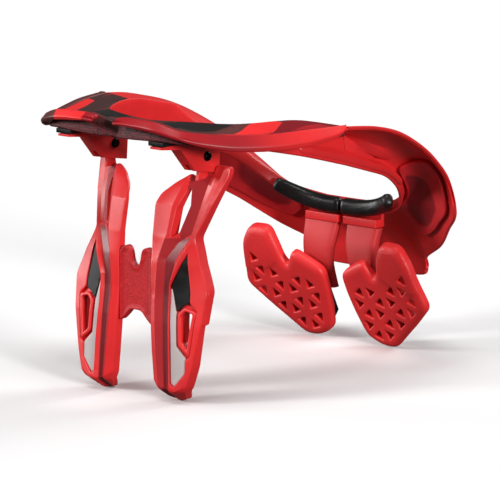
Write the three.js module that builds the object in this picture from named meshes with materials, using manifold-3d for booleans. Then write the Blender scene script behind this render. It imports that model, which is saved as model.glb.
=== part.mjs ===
// Motocross neck brace, millimetres, +Z up, the wearer's left is +X and the back is +Y.
// It stands on its two chest struts and its two shoulder-blade pads.
import * as THREE from 'three';
import { mergeVertices } from 'three/addons/utils/BufferGeometryUtils.js';
import Module from 'manifold-3d';

const wasm = await Module();
wasm.setup();

// Driving sizes
const GAP = 0.3;
const deckThick = 3.0;
const bumperThick = 4.0;
const shellThick = 3.0;
const linerThick = 2.4;
const tongueThick = 3.0;
const valleyDepth = 3.5;
const bumperBulge = 1.6;
const tableSteps = 2;
const neckPadTall = 13.0;
const neckPadDeep = 10.5;
const padThick = 7.5;
const padLean = -0.465;
const padYaw = -0.033;
const padFaceY = 117.6;
const padBendFrom = 55;
const padBendRadius = 83.3;
const backingThick = 3.0;
const armDeep = 8.0;
const holeSide = 10.5;
const latticeSide = 18.9;
const latticeTurn = 40.3;
const latticeX = 48.8;
const latticeS = 32.75;
const inlayDeep = 1.4;
const ringProud = 0.8;
const ringWall = 1.9;
const hingeY = -103.7;
const hingeZ = 175.0;
const hingeX = 43.0;
const bracketWide = 10.0;
const lugWide = 3.0;
const lugRadius = 7.0;
const boltRadius = 3.4;
const boltHead = 2.2;
const plateLow = 187.6;
const plateHigh = 190.9;
const plateEdge = 2.0;
const bridgeThick = 6.0;
const bridgeFront = -126;
const centreShift = 7.05;

// Sizes of the deck section
const deckReveal = 1.2;
const deckSill = 0.6;
const skirtDeep = 6.0;
const skirtLean = 0.2;
const valleyAt = 0.45;
const riseAt = 0.85;
const riseShare = 0.35;

// Sizes of the shell section
const archAt = [0.3, 0.7];
const archShare = 0.9;
const lipOut = 0.5;

// Sizes of the neck pads and the pad arms
const neckPadSides = 14;
const neckPadSquare = 0.7;
const neckPadTaper = 0.35;
const neckPadTaperPower = 8;
const armTaper = 0.6;

// Sizes of the hinge
const strutTopZ = 159.6;
const strutTopSide = [2.0, 0.5];
const strutMiddleX = 28;
const bracketInner = hingeX - bracketWide / 2;
const bracketOuter = hingeX + bracketWide / 2;
const lugInner = hingeX - lugWide / 2;
const lugOuter = hingeX + lugWide / 2;
const lugStem = [[-109.5, 176], [-98, 176], [-98, 157], [-109.5, 157]];
const forkSlot = [[-125, 150], [-80, 150], [-80, 184], [-118, 184]];
const wheelSides = 20;
const cutBeyond = 4.0;

// Front collar, wearer's left half, from the middle of the chest edge to the shoulder
// Each row: bumper foot x y z, bumper top x y z, neck lip x y z, neck wall foot x y z
const collarRows = [
  [0, -151, 194.5, 0, -149, 198, 0, -110, 197, 0, -113, 187],
  [11, -161.5, 200.5, 11, -156, 205, 12, -110, 197.5, 12, -113, 187],
  [28, -160, 199.5, 28, -157.5, 206.2, 26, -107, 198, 26, -110, 187],
  [47, -158.5, 196, 46, -156.5, 205.2, 40, -101, 198, 40, -104, 186.5],
  [64, -152, 191.5, 62, -149.5, 200.2, 50, -93.5, 197.5, 51, -97, 185],
  [76, -137, 187, 73, -134.5, 197.3, 58, -84, 197, 60, -87, 182],
  [89, -118, 184.2, 85, -116, 195.3, 65, -72, 197, 68, -74, 179],
  [102, -92, 183, 98, -91, 194.6, 71, -55, 197, 75, -56, 175],
  [111.5, -64, 184.2, 108, -63, 195.3, 75, -33, 195, 79, -33, 169.5],
  [117, -33, 188.5, 115, -33, 195.2, 76, 8, 186, 79.5, 8, 158.5],
];

// Rear shell, left half, from the shoulder round to the middle of the tail
// Each row: neck wall foot x y z, neck edge x y z, rim x y z, swell, swell lean, rim lip drop
const shellRows = [
  [79.5, 9.5, 158.2, 76, 9.5, 185.5, 115.6, -30.5, 194.6, 2, 0, 5],
  [78.5, 36, 150, 76, 33, 168, 117.3, -2, 190.8, 5, 5, 5],
  [75.5, 60, 142.5, 75, 58, 155, 118.5, 25, 183.4, 7, 10, 5],
  [71, 79, 132, 72, 79, 142.5, 119, 50, 170.3, 8, 20, 5],
  [64, 92.5, 121.5, 66, 94, 130, 119.2, 68, 156.5, 9, 35, 5],
  [56, 100.5, 112.5, 57, 103, 120.5, 119.2, 82, 140.7, 10, 50, 5],
  [45, 105, 106.5, 46, 108.5, 114.5, 118.5, 91, 117, 9, 60, 4],
  [35, 108, 104, 36, 111, 112.6, 99, 108.5, 100.5, 8, 62, 4],
  [26, 109.5, 103, 27, 112.3, 111.6, 78, 126.5, 83.5, 8, 62, 4],
  [18, 110.5, 102.5, 19, 113, 111, 54, 140.5, 70, 6, 62, 4],
  [12, 111, 102.5, 13, 113.5, 111, 51.5, 144.5, 61, 6, 62, 4],
  [6, 111, 102.5, 7, 113.5, 111, 43, 147, 55, 6, 62, 4],
  [0, 111, 102.5, 0, 113.5, 111, 0, 148, 54.5, 6, 62, 4],
];

// Neck pad centre line: x y z
const neckPadRows = [
  [3, 105.6, 104.6],
  [16, 105.2, 104.8],
  [29, 104, 106.6],
  [40, 101.5, 110],
  [47.5, 98, 113],
  [52, 94.5, 116],
];

// Shoulder-blade pad outline: x across, s along the leaning face
const padOutline = [
  [54, 91], [62, 92.5], [70, 90.5], [76.5, 84], [79.5, 75], [81.5, 62], [85, 45], [85.5, 39], [82, 34],
  [69, 23.5], [52, 8], [45, 2], [38, 0.1], [31, 0.1], [20, 4.5], [15.5, 12], [12, 27], [9.5, 44], [9.5, 57],
  [12, 63], [19, 67.5], [30, 73.5], [35, 73], [37.5, 67.5], [41, 62.5], [45, 66], [47.5, 78], [49.5, 87],
];

// Pierced triangles: lattice column, lattice row, direction number of sixty degrees
const holeRows = [
  [0, 0, 0], [0, 0, 1], [0, 0, 2], [0, 0, 3], [0, 0, 4], [0, 0, 5],
  [1, 0, 0], [1, 0, 1], [1, 0, 2], [1, 0, 5], [1, 1, 0],
  [-1, 1, 1], [-1, 1, 2], [-1, 1, 3], [-1, 1, 4],
  [-1, 0, 3], [-1, 0, 4], [-1, 0, 5],
];

// Chest strut outline seen from the front: x z
const strutOutline = [
  [19.5, 14], [23, 7], [29, 1], [35, 0], [42, 2.5], [49, 12], [53, 26], [59, 58], [61, 81], [46, 117],
  [54, 141], [60, 160], [60, 167], [49.5, 168.5], [31, 163.5], [20, 155], [14, 141], [15.7, 106], [15.7, 50],
  [17.5, 34],
];
const strutWindow = [
  [28, 113.5], [34, 117], [38.5, 128], [40, 140], [38, 149], [33.5, 151], [30.5, 142], [29.5, 128],
];
const inlayBlack = [[43, 107.5], [48.5, 80], [48.7, 72.5], [43.5, 70.2], [38.5, 65.5], [33, 85]];
const inlayWhite = [
  [32.3, 83], [37.9, 65], [39.6, 41.5], [47.6, 33.5], [47.6, 23], [39, 12.5], [35.6, 15],
  [34.6, 40], [33, 65],
];
const slotOutline = [[45, 70], [54.5, 67.5], [50.8, 35], [41, 42.5], [39.8, 64.8]];

// Front face of the strut: z, y of the middle facet, slope of y across the width, depth
const strutFace = [
  [-4, -117.5, 0.05, 10.4], [9.5, -130.8, 0.08, 10.4], [36, -130, 0.12, 10.4], [57, -128.8, 0.14, 10.4],
  [77, -126.5, 0.17, 10.4], [100, -125.6, 0.3, 10.4], [117, -123, 0.45, 10], [141, -117.6, 0.47, 8.5],
  [163, -111, 0.52, 6], [172, -108.5, 0.54, 4],
];
// Facets of that face: x, own set back
const strutFacets = [[5, 1.5], [19, 0.4], [28, -1], [45, 0], [70, 0.8]];

const bracketSide = [
  [-153, 187.2], [-153, 185.6], [-132, 183], [-116.5, 166], [-91, 161.8],
  [-89.5, 181], [-105, 184], [-107.5, 187.2],
];
const bridgeOutline = [
  [-15.3, 103], [-10, 108.5], [-6, 106], [-4, 96], [0, 92.5], [4, 96], [6, 106], [10, 108.5], [15.3, 103],
  [15.3, 52.5], [10, 57], [5, 62.5], [-5, 62.5], [-10, 57], [-15.3, 52.5],
];

const RED = 0xe0353a;
const paint = {
  red_shell: { color: RED, roughness: 0.42, metalness: 0 },
  red_bumper: { color: RED, roughness: 0.45, metalness: 0 },
  deck_graphic: { color: 0x7a2a2c, roughness: 0.5, metalness: 0 },
  dark_red_liner: { color: 0x9c1c24, roughness: 0.5, metalness: 0 },
  red_strut: { color: 0xd62f35, roughness: 0.42, metalness: 0 },
  black_foam: { color: 0x1b1a1a, roughness: 0.75, metalness: 0 },
  black_plastic: { color: 0x151414, roughness: 0.5, metalness: 0 },
  grey_inlay: { color: 0xb9acaa, roughness: 0.45, metalness: 0 },
  matte_red_arm: { color: 0xcc3b3c, roughness: 0.65, metalness: 0 },
  black_steel: { color: 0x161616, roughness: 0.35, metalness: 0.8 },
};

const group = new THREE.Group();
group.name = 'neck_brace';

// One solid node from positions and triangle numbers, turned so that its faces look outward
function geometryOf(points, faces) {
  let volume = 0;
  for (const [a, b, c] of faces) {
    const cross = new THREE.Vector3().crossVectors(points[b], points[c]);
    volume += points[a].dot(cross);
  }
  const flat = [];
  for (const [a, b, c] of faces) {
    const order = volume > 0 ? [a, b, c] : [a, c, b];
    for (const n of order) {
      flat.push(points[n].x, points[n].y, points[n].z);
    }
  }
  const geometry = new THREE.BufferGeometry();
  geometry.setAttribute('position', new THREE.Float32BufferAttribute(flat, 3));
  return geometry;
}

function solidOf(geometry) {
  const bare = new THREE.BufferGeometry();
  bare.setAttribute('position', geometry.getAttribute('position').clone());
  if (geometry.index) {
    bare.setIndex(geometry.index.clone());
  }
  const merged = mergeVertices(bare, 1e-4);
  const mesh = new wasm.Mesh({
    numProp: 3,
    vertProperties: new Float32Array(merged.getAttribute('position').array),
    triVerts: new Uint32Array(merged.index.array),
  });
  return new wasm.Manifold(mesh);
}

function geometryFrom(solid) {
  const mesh = solid.getMesh();
  const geometry = new THREE.BufferGeometry();
  geometry.setAttribute('position', new THREE.BufferAttribute(Float32Array.from(mesh.vertProperties), 3));
  geometry.setIndex(new THREE.BufferAttribute(Uint32Array.from(mesh.triVerts), 1));
  return geometry.toNonIndexed();
}

function mirrored(geometry) {
  const copy = geometry.index ? geometry.toNonIndexed() : geometry.clone();
  const from = copy.getAttribute('position');
  const flat = new Float32Array(from.count * 3);
  for (let i = 0; i < from.count; i += 3) {
    [0, 2, 1].forEach((k, slot) => {
      flat[(i + slot) * 3] = -from.getX(i + k);
      flat[(i + slot) * 3 + 1] = from.getY(i + k);
      flat[(i + slot) * 3 + 2] = from.getZ(i + k);
    });
  }
  const out = new THREE.BufferGeometry();
  out.setAttribute('position', new THREE.BufferAttribute(flat, 3));
  return out;
}

function addNode(name, geometry, slot) {
  const { color, roughness, metalness } = paint[slot];
  const material = new THREE.MeshStandardMaterial({ color, roughness, metalness });
  material.name = slot;
  const ready = geometry.index ? geometry.toNonIndexed() : geometry.clone();
  ready.translate(0, centreShift, 0);
  ready.computeVertexNormals();
  const mesh = new THREE.Mesh(ready, material);
  mesh.name = name;
  group.add(mesh);
}

function addPair(name, geometry, slot) {
  addNode(`${name}_left`, geometry, slot);
  addNode(`${name}_right`, mirrored(geometry), slot);
}

// Rows read at any station, with a smooth curve through them
function rowAt(rows, station) {
  const last = rows.length - 1;
  const i = Math.min(Math.max(Math.floor(station), 0), last - 1);
  const t = station - i;
  const row = (n) => rows[Math.min(Math.max(n, 0), last)];
  return rows[0].map((_, c) => {
    const [p, a, b, n] = [row(i - 1)[c], row(i)[c], row(i + 1)[c], row(i + 2)[c]];
    const slopeA = (b - p) / 2;
    const slopeB = (n - a) / 2;
    const bend = 2 * t * t * t - 3 * t * t + 1;
    const leave = t * t * t - 2 * t * t + t;
    const arrive = t * t * t - t * t;
    return bend * a + (1 - bend) * b + leave * slopeA + arrive * slopeB;
  });
}

// Stations from the right end through the middle to the left end; the middle row is shared
function bothSides(rows, steps, pointsOf, middleFirst) {
  const count = (rows.length - 1) * steps;
  const half = [];
  for (let i = 0; i <= count; i += 1) {
    half.push(pointsOf(rowAt(rows, i / steps)));
  }
  const ordered = middleFirst ? half : half.reverse();
  const other = ordered.slice(1).map((line) => line.map((p) => new THREE.Vector3(-p.x, p.y, p.z)));
  return [...other.reverse(), ...ordered];
}

// Closed body from a grid of points and a second grid under it
function panel(top, under) {
  const rows = top.length;
  const cols = top[0].length;
  const points = [...top.flat(), ...under.flat()];
  const at = (side, r, c) => side * rows * cols + r * cols + c;
  const faces = [];
  const quad = (a, b, c, d) => faces.push([a, b, c], [a, c, d]);
  for (let r = 0; r < rows - 1; r += 1) {
    for (let c = 0; c < cols - 1; c += 1) {
      quad(at(0, r, c), at(0, r, c + 1), at(0, r + 1, c + 1), at(0, r + 1, c));
      quad(at(1, r, c), at(1, r + 1, c), at(1, r + 1, c + 1), at(1, r, c + 1));
    }
    quad(at(0, r, 0), at(0, r + 1, 0), at(1, r + 1, 0), at(1, r, 0));
    quad(at(0, r, cols - 1), at(1, r, cols - 1), at(1, r + 1, cols - 1), at(0, r + 1, cols - 1));
  }
  for (let c = 0; c < cols - 1; c += 1) {
    quad(at(0, 0, c), at(1, 0, c), at(1, 0, c + 1), at(0, 0, c + 1));
    quad(at(0, rows - 1, c), at(0, rows - 1, c + 1), at(1, rows - 1, c + 1), at(1, rows - 1, c));
  }
  return geometryOf(points, faces);
}

// A grid moved along its own normals by the given distance, with mitred corners
function moved(grid, distance) {
  const rows = grid.length;
  const cols = grid[0].length;
  const faceNormal = (r, c) => {
    const along = grid[r + 1][c].clone().add(grid[r + 1][c + 1]).sub(grid[r][c]).sub(grid[r][c + 1]);
    const across = grid[r][c + 1].clone().add(grid[r + 1][c + 1]).sub(grid[r][c]).sub(grid[r + 1][c]);
    return along.cross(across).normalize();
  };
  return grid.map((line, r) => line.map((point, c) => {
    const around = [];
    for (const rr of [r - 1, r]) {
      for (const cc of [c - 1, c]) {
        if (rr >= 0 && rr < rows - 1 && cc >= 0 && cc < cols - 1) {
          around.push(faceNormal(rr, cc));
        }
      }
    }
    const mean = new THREE.Vector3();
    around.forEach((n) => mean.add(n));
    mean.normalize();
    const mitre = Math.max(0.7, Math.min(...around.map((n) => n.dot(mean))));
    return point.clone().addScaledVector(mean, distance / mitre);
  }));
}

function prism(outline, from, to) {
  const shape = new THREE.Shape(outline.map(([a, b]) => new THREE.Vector2(a, b)));
  const geometry = new THREE.ExtrudeGeometry(shape, { depth: to - from, bevelEnabled: false });
  geometry.translate(0, 0, from);
  return geometry;
}

// Prism drawn in x and z, running along y
function prismXZ(outline, fromY, toY) {
  const geometry = prism(outline, -toY, -fromY);
  geometry.rotateX(Math.PI / 2);
  return geometry;
}

// Prism drawn in y and z, running along x
function prismYZ(outline, fromX, toX) {
  const geometry = prism(outline, fromX, toX);
  const turn = new THREE.Matrix4().set(0, 0, 1, 0, 1, 0, 0, 0, 0, 1, 0, 0, 0, 0, 0, 1);
  geometry.applyMatrix4(turn);
  return geometry;
}

// An outline grown outward by a distance, negative to shrink it
function grown(outline, distance) {
  const n = outline.length;
  const area = outline.reduce((sum, [x, y], i) => {
    const [u, v] = outline[(i + 1) % n];
    return sum + x * v - u * y;
  }, 0);
  const side = Math.sign(area);
  return outline.map(([x, y], i) => {
    const [px, py] = outline[(i + n - 1) % n];
    const [nx, ny] = outline[(i + 1) % n];
    const before = new THREE.Vector2(y - py, px - x).normalize();
    const after = new THREE.Vector2(ny - y, x - nx).normalize();
    const mean = before.clone().add(after).normalize();
    const reach = side * distance / Math.max(0.5, mean.dot(after));
    return [x + mean.x * reach, y + mean.y * reach];
  });
}

// Corners of an outline cut back so that they read as rounded
function softened(outline, share) {
  const n = outline.length;
  return outline.flatMap(([x, y], i) => {
    const [px, py] = outline[(i + n - 1) % n];
    const [nx, ny] = outline[(i + 1) % n];
    return [[x + (px - x) * share, y + (py - y) * share], [x + (nx - x) * share, y + (ny - y) * share]];
  });
}

// Collar: the graphic deck and the two bumpers round its outer edge
const mix = (a, b, t) => a.clone().lerp(b, t);
const collarPoints = (row) => {
  const [foot, top, lip, wall] = [0, 3, 6, 9].map((i) => new THREE.Vector3(row[i], row[i + 1], row[i + 2]));
  return { foot, top, lip, wall };
};

function deckLine(row) {
  const { top, lip, wall } = collarPoints(row);
  const inward = lip.clone().sub(top).setZ(0).normalize();
  const edge = top.clone().addScaledVector(inward, bumperThick + deckReveal);
  edge.z -= deckSill;
  const valley = mix(edge, lip, valleyAt);
  valley.z -= valleyDepth;
  const rise = mix(edge, lip, riseAt);
  rise.z -= valleyDepth * riseShare;
  const skirt = edge.clone().addScaledVector(inward, -skirtLean);
  skirt.z -= skirtDeep;
  return [skirt, edge, valley, rise, lip, wall];
}

const deckTop = bothSides(collarRows, tableSteps, deckLine, true);
addNode('front_collar', panel(deckTop, moved(deckTop, -deckThick)), 'deck_graphic');

function bumperLine(row) {
  const { foot, top, lip } = collarPoints(row);
  const outward = top.clone().sub(lip).setZ(0).normalize();
  const belly = mix(foot, top, 0.5).addScaledVector(outward, bumperBulge);
  return [foot, belly, top];
}

const bumperRows = [];
for (let i = 2; i <= (collarRows.length - 1) * tableSteps; i += 1) {
  bumperRows.push(bumperLine(rowAt(collarRows, i / tableSteps)));
}
addPair('collar_bumper', panel(bumperRows, moved(bumperRows, -bumperThick)), 'red_bumper');

// Rear shell: one canopy from shoulder to shoulder with a rolled rim and an inner neck wall
function shellParts(row) {
  const [wall, edge, rim] = [0, 3, 6].map((i) => new THREE.Vector3(row[i], row[i + 1], row[i + 2]));
  return { wall, edge, rim, swell: row[9], lean: THREE.MathUtils.degToRad(row[10]), drop: row[11] };
}

function shellLine(row) {
  const { wall, edge, rim, swell, lean, drop } = shellParts(row);
  const outward = new THREE.Vector3(0, Math.sin(lean), Math.cos(lean));
  const arch = archAt.map((t) => mix(edge, rim, t).addScaledVector(outward, swell * archShare));
  const lip = rim.clone();
  lip.z -= drop;
  lip.addScaledVector(outward.clone().cross(new THREE.Vector3(1, 0, 0)), lipOut);
  return [wall, edge, ...arch, rim, lip];
}

const shellTop = bothSides(shellRows, tableSteps, shellLine, false);
const shellUnder = moved(shellTop, -shellThick);
addNode('rear_shell', panel(shellTop, shellUnder), 'red_shell');

// A patch laid on the inside of the shell, a gap away from it
function shellPatch(stations, across, away, thick) {
  const middle = (shellUnder.length - 1) / 2;
  const shoulder = shellRows.length - 1;
  const grid = stations.map((station) => {
    const line = shellUnder[middle + Math.round((shoulder - station) * tableSteps)];
    const next = (v) => Math.min(Math.floor(v) + 1, line.length - 1);
    return across.map((v) => mix(line[Math.floor(v)], line[next(v)], v % 1));
  }).reverse();
  return panel(moved(grid, -away), moved(grid, -away - thick));
}

const linerStations = [3, 3.5, 4, 4.5, 5, 5.5, 6, 6.5, 7, 7.5];
const linerAcross = [1.7, 2, 2.5, 3, 3.7];
addPair('liner', shellPatch(linerStations, linerAcross, 2 * GAP, linerThick), 'dark_red_liner');
const tongueStations = [0.5, 1, 1.5, 2, 2.5, 3, 3.5, 4];
addPair('side_tongue', shellPatch(tongueStations, [0.1, 0.4, 0.7], GAP, tongueThick), 'red_shell');

// Rounded bar swept along a line of points, its section given by width across and height
function bar(line, section) {
  const grid = line.map((point, i) => {
    const next = line[Math.min(i + 1, line.length - 1)];
    const last = line[Math.max(i - 1, 0)];
    const along = next.clone().sub(last).normalize();
    const across = new THREE.Vector3(0, 0, 1).cross(along).normalize();
    const up = along.clone().cross(across);
    return section(i / (line.length - 1)).map(([a, b]) => (
      point.clone().addScaledVector(across, a).addScaledVector(up, b)));
  });
  const points = grid.flat();
  const size = grid[0].length;
  const faces = [];
  for (let r = 0; r < grid.length - 1; r += 1) {
    for (let c = 0; c < size; c += 1) {
      const d = (c + 1) % size;
      const [a, b] = [r * size, (r + 1) * size];
      faces.push([a + c, a + d, b + d], [a + c, b + d, b + c]);
    }
  }
  const end = (grid.length - 1) * size;
  for (let c = 1; c < size - 1; c += 1) {
    faces.push([0, c + 1, c], [end, end + c, end + c + 1]);
  }
  return geometryOf(points, faces);
}

function roundSection(wide, tall, sides, power) {
  const signed = (value) => Math.sign(value) * Math.abs(value) ** power;
  return Array.from({ length: sides }, (_, i) => {
    const angle = 2 * Math.PI * (i + 0.5) / sides;
    return [wide / 2 * signed(Math.cos(angle)), tall / 2 * signed(Math.sin(angle))];
  });
}

const padSteps = 2;
const neckPadLine = [];
for (let i = 0; i <= (neckPadRows.length - 1) * padSteps; i += 1) {
  neckPadLine.push(new THREE.Vector3(...rowAt(neckPadRows, i / padSteps)));
}
const neckPadSection = (t) => {
  const share = 1 - neckPadTaper * Math.abs(2 * t - 1) ** neckPadTaperPower;
  return roundSection(neckPadDeep * share, neckPadTall * share, neckPadSides, neckPadSquare);
};
addPair('neck_pad', bar(neckPadLine, neckPadSection), 'black_foam');

// Leaning frame of the shoulder-blade pads: x across, s up the face, out of the face toward the wearer
const leanLength = Math.hypot(1, padLean);
function onPad(x, s, back) {
  const z = s / leanLength;
  const bend = Math.max(0, z - padBendFrom) ** 2 / (2 * padBendRadius);
  const y = padFaceY + padYaw * x + padLean * z + bend;
  return new THREE.Vector3(x + back * padYaw, y + back / leanLength, z - back * padLean / leanLength);
}

function leaning(outline, from, to) {
  const geometry = prism(outline, from, to);
  const at = geometry.getAttribute('position');
  for (let i = 0; i < at.count; i += 1) {
    const p = onPad(at.getX(i), at.getY(i), at.getZ(i));
    at.setXYZ(i, p.x, p.y, p.z);
  }
  const flat = Array.from({ length: at.count }, (_, i) => new THREE.Vector3().fromBufferAttribute(at, i));
  const faces = Array.from({ length: at.count / 3 }, (_, i) => [3 * i, 3 * i + 1, 3 * i + 2]);
  return geometryOf(flat, faces);
}

function holeOutline([column, row, turn]) {
  const turned = (degrees, reach) => {
    const angle = THREE.MathUtils.degToRad(degrees);
    return [reach * Math.cos(angle), reach * Math.sin(angle)];
  };
  const [ax, ay] = turned(latticeTurn, latticeSide);
  const [bx, by] = turned(latticeTurn + 60, latticeSide);
  const [cx, cy] = turned(latticeTurn - 30 + 60 * turn, latticeSide / Math.sqrt(3));
  const centre = [latticeX + column * ax + row * bx + cx, latticeS + column * ay + row * by + cy];
  return [0, 120, 240].map((step) => {
    const [x, y] = turned(latticeTurn - 30 + 60 * turn + 180 + step, holeSide / Math.sqrt(3));
    return [centre[0] + x, centre[1] + y];
  });
}

let pad = solidOf(leaning(softened(padOutline, 0.25), 0, padThick));
for (const row of holeRows) {
  pad = pad.subtract(solidOf(leaning(holeOutline(row), -cutBeyond, padThick + cutBeyond)));
}
addPair('scapula_pad', geometryFrom(pad), 'red_shell');

const backingOutline = [[22, 8], [40, 8], [62, 26], [62, 56], [34, 56], [14, 55], [13, 20]];
const backingFrom = padThick + GAP;
addPair('pad_backing', leaning(backingOutline, backingFrom, backingFrom + backingThick), 'black_plastic');

// Bracket under each neck pad and the arm that carries the shoulder-blade pad
const wingSide = [[103.5, 91.5], [114.4, 91.5], [114.4, 101.5], [111.4, 101.5], [111.4, 97.7], [103.5, 97.7]];
addPair('wing_bracket', prismYZ(wingSide, 2.5, 33.5), 'red_shell');

const armRows = [
  [91.2, 104.8, 6, 33.5], [84, 102.6, 6.5, 33], [77, 101, 7.5, 32.5], [70, 100.4, 9, 32],
  [62, 101.3, 10.5, 31.5], [54, 104.5, 12, 31], [40, 111, 13.5, 31],
];
const armFront = armRows.map(([z, y, inner, outer]) => [
  new THREE.Vector3(inner, y, z), new THREE.Vector3(outer, y - armTaper, z)]);
const armBack = armFront.map((line) => line.map((p) => p.clone().add(new THREE.Vector3(0, armDeep, 0))));
addPair('wing_arm', panel(armFront, armBack), 'matte_red_arm');

// Chest strut: an outline cut through a slab whose front is folded in facets
const strutFront = strutFace.map(([z, front, slope]) => (
  strutFacets.map(([x, own]) => new THREE.Vector3(x, front + slope * (x - strutMiddleX) + own, z))));
const behind = (depthAt) => strutFront.map((line, row) => (
  line.map((p) => p.clone().add(new THREE.Vector3(0, depthAt(row), 0)))));
const skinFrom = (shallow, deep) => solidOf(panel(behind(() => shallow), behind(() => deep)));

const farFront = -170;
const farBack = -60;
const through = (outline) => solidOf(prismXZ(outline, farFront, farBack));
const ring = through(slotOutline);
const ringHole = through(grown(slotOutline, -ringWall));
const insert = (outline) => through(outline).intersect(skinFrom(-0.2, inlayDeep - GAP));

const wheel = (radius, fromX, toX) => {
  const rim = Array.from({ length: wheelSides }, (_, i) => {
    const angle = 2 * Math.PI * (i + 0.5) / wheelSides;
    return [hingeY + radius * Math.cos(angle), hingeZ + radius * Math.sin(angle)];
  });
  return solidOf(prismYZ(rim, fromX, toX));
};
const slice = (outline, fromX, toX) => solidOf(prismYZ(outline, fromX, toX));

const strutBlock = solidOf(panel(behind(() => 0), behind((row) => strutFace[row][3])));
let strut = through(softened(strutOutline, 0.12)).intersect(strutBlock);
strut = strut.subtract(through(strutWindow));
const strutTopCut = [[-130, strutTopZ], [-80, strutTopZ], [-80, 190], [-130, 190]];
strut = strut.subtract(slice(strutTopCut, bracketInner - strutTopSide[0], bracketOuter + strutTopSide[1]));
strut = strut.add(wheel(lugRadius, lugInner, lugOuter));
strut = strut.add(slice(lugStem, lugInner, lugOuter));
strut = strut.subtract(wheel(boltRadius + GAP, lugInner - 1, lugOuter + 1));
const pockets = [inlayBlack, inlayWhite, slotOutline].map((outline) => (
  through(grown(outline, GAP)).intersect(skinFrom(-cutBeyond, inlayDeep))));
for (const pocket of pockets) {
  strut = strut.subtract(pocket);
}
strut = strut.subtract(ringHole);
addPair('strut', geometryFrom(strut), 'red_strut');
const ringRoom = through(grown(slotOutline, GAP));
addPair('inlay_black', geometryFrom(insert(inlayBlack).subtract(ringRoom)), 'black_plastic');
const whiteBody = insert(inlayWhite).subtract(ringRoom).subtract(through(grown(inlayBlack, GAP)));
addPair('inlay_white', geometryFrom(whiteBody), 'grey_inlay');
const ringBody = ring.intersect(skinFrom(-ringProud, inlayDeep - GAP)).subtract(ringHole);
addPair('slot_ring', geometryFrom(ringBody), 'red_strut');

let hinge = solidOf(prismYZ(bracketSide, bracketInner, bracketOuter));
hinge = hinge.subtract(wheel(boltRadius + GAP, bracketInner - 1, bracketOuter + 1));
hinge = hinge.subtract(slice(forkSlot, lugInner - GAP, lugOuter + GAP));
addPair('hinge_bracket', geometryFrom(hinge), 'red_shell');
const bolt = wheel(boltRadius, bracketInner - boltHead, bracketOuter + boltHead);
addPair('hinge_bolt', geometryFrom(bolt), 'black_steel');

const plateInner = bracketInner - plateEdge;
const plateOuter = bracketOuter + plateEdge;
const plateOutline = [[plateInner, -153], [plateOuter, -153], [plateOuter, -116], [plateInner, -116]];
addPair('slide_plate', prism(plateOutline, plateLow, plateHigh), 'black_plastic');

addNode('bridge', prismXZ(bridgeOutline, bridgeFront, bridgeFront + bridgeThick), 'red_strut');

export default group;
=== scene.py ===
"""Motocross neck brace on its two chest struts and its two shoulder-blade pads.

Sizes are millimetres in the tables and metres in the meshes. X runs to the wearer's left, Y to the
wearer's back and Z up. Each pair is worked out for the wearer's left and mirrored for the right.
"""

import bmesh
import bpy
import numpy as np
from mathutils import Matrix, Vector
from mathutils.geometry import delaunay_2d_cdt


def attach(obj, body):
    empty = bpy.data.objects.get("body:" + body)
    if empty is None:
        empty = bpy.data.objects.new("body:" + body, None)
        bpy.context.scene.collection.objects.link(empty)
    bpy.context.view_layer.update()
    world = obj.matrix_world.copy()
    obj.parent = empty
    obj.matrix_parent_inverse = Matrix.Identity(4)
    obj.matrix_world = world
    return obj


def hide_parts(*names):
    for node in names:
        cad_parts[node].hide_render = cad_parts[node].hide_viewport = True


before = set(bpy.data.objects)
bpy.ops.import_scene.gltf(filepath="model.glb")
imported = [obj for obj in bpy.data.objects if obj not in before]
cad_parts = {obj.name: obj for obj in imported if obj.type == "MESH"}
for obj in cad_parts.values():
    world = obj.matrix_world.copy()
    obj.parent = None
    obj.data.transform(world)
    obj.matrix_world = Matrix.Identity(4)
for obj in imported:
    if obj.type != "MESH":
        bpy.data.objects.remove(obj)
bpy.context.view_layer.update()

MM = 0.001
CENTRE_SHIFT = 7.05
SIDES = (("left", 1.0), ("right", -1.0))
BASE = "collar"
CHEST = "chest_frame"

# Collar rows, from the middle of the chest edge to the shoulder
# bumper foot x y z, bumper top x y z, neck lip x y z, neck wall foot x y z
COLLAR_ROWS = [
    [0, -151, 194.5, 0, -149, 198, 0, -110, 197, 0, -113, 187],
    [11, -161.5, 200.5, 11, -156, 205, 12, -110, 197.5, 12, -113, 187],
    [28, -160, 199.5, 28, -157.5, 206.2, 26, -107, 198, 26, -110, 187],
    [47, -158.5, 196, 46, -156.5, 205.2, 40, -101, 198, 40, -104, 186.5],
    [64, -152, 191.5, 62, -149.5, 200.2, 50, -93.5, 197.5, 51, -97, 185],
    [76, -137, 187, 73, -134.5, 197.3, 58, -84, 197, 60, -87, 182],
    [89, -118, 184.2, 85, -116, 195.3, 65, -72, 197, 68, -74, 179],
    [102, -92, 183, 98, -91, 194.6, 71, -55, 197, 75, -56, 175],
    [111.5, -64, 184.2, 108, -63, 195.3, 75, -33, 195, 79, -33, 169.5],
    [117, -33, 188.5, 115, -33, 195.2, 76, 8, 186, 79.5, 8, 158.5],
]
DECK_THICK = 3.0
BUMPER_THICK = 4.0
DECK_REVEAL = 1.2
DECK_SILL = 0.6
SKIRT_DEEP = 6.0
CHIN_AT = [0, 47, 64, 76, 89]
CHIN_Z = [191.0, 193.2, 192.6, 189.5, 188.5]
VALLEY_DEEP = 3.5
# Valley and rise of the table top, as shares of the way from the edge to the neck lip
VALLEY_AT = 0.45
RISE_AT = 0.85
RISE_SHARE = 0.35
# How much the bumper's foot is raised at these X, and where its rear end closes
FOOT_AT = [28, 47, 64, 76, 89]
FOOT_RAISE = [0, 1.8, 2.0, 1.0, 0]
CLOSE_FROM_Y = -46
CLOSE_RUN = 13
CLOSE_SHARE = 0.7
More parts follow.
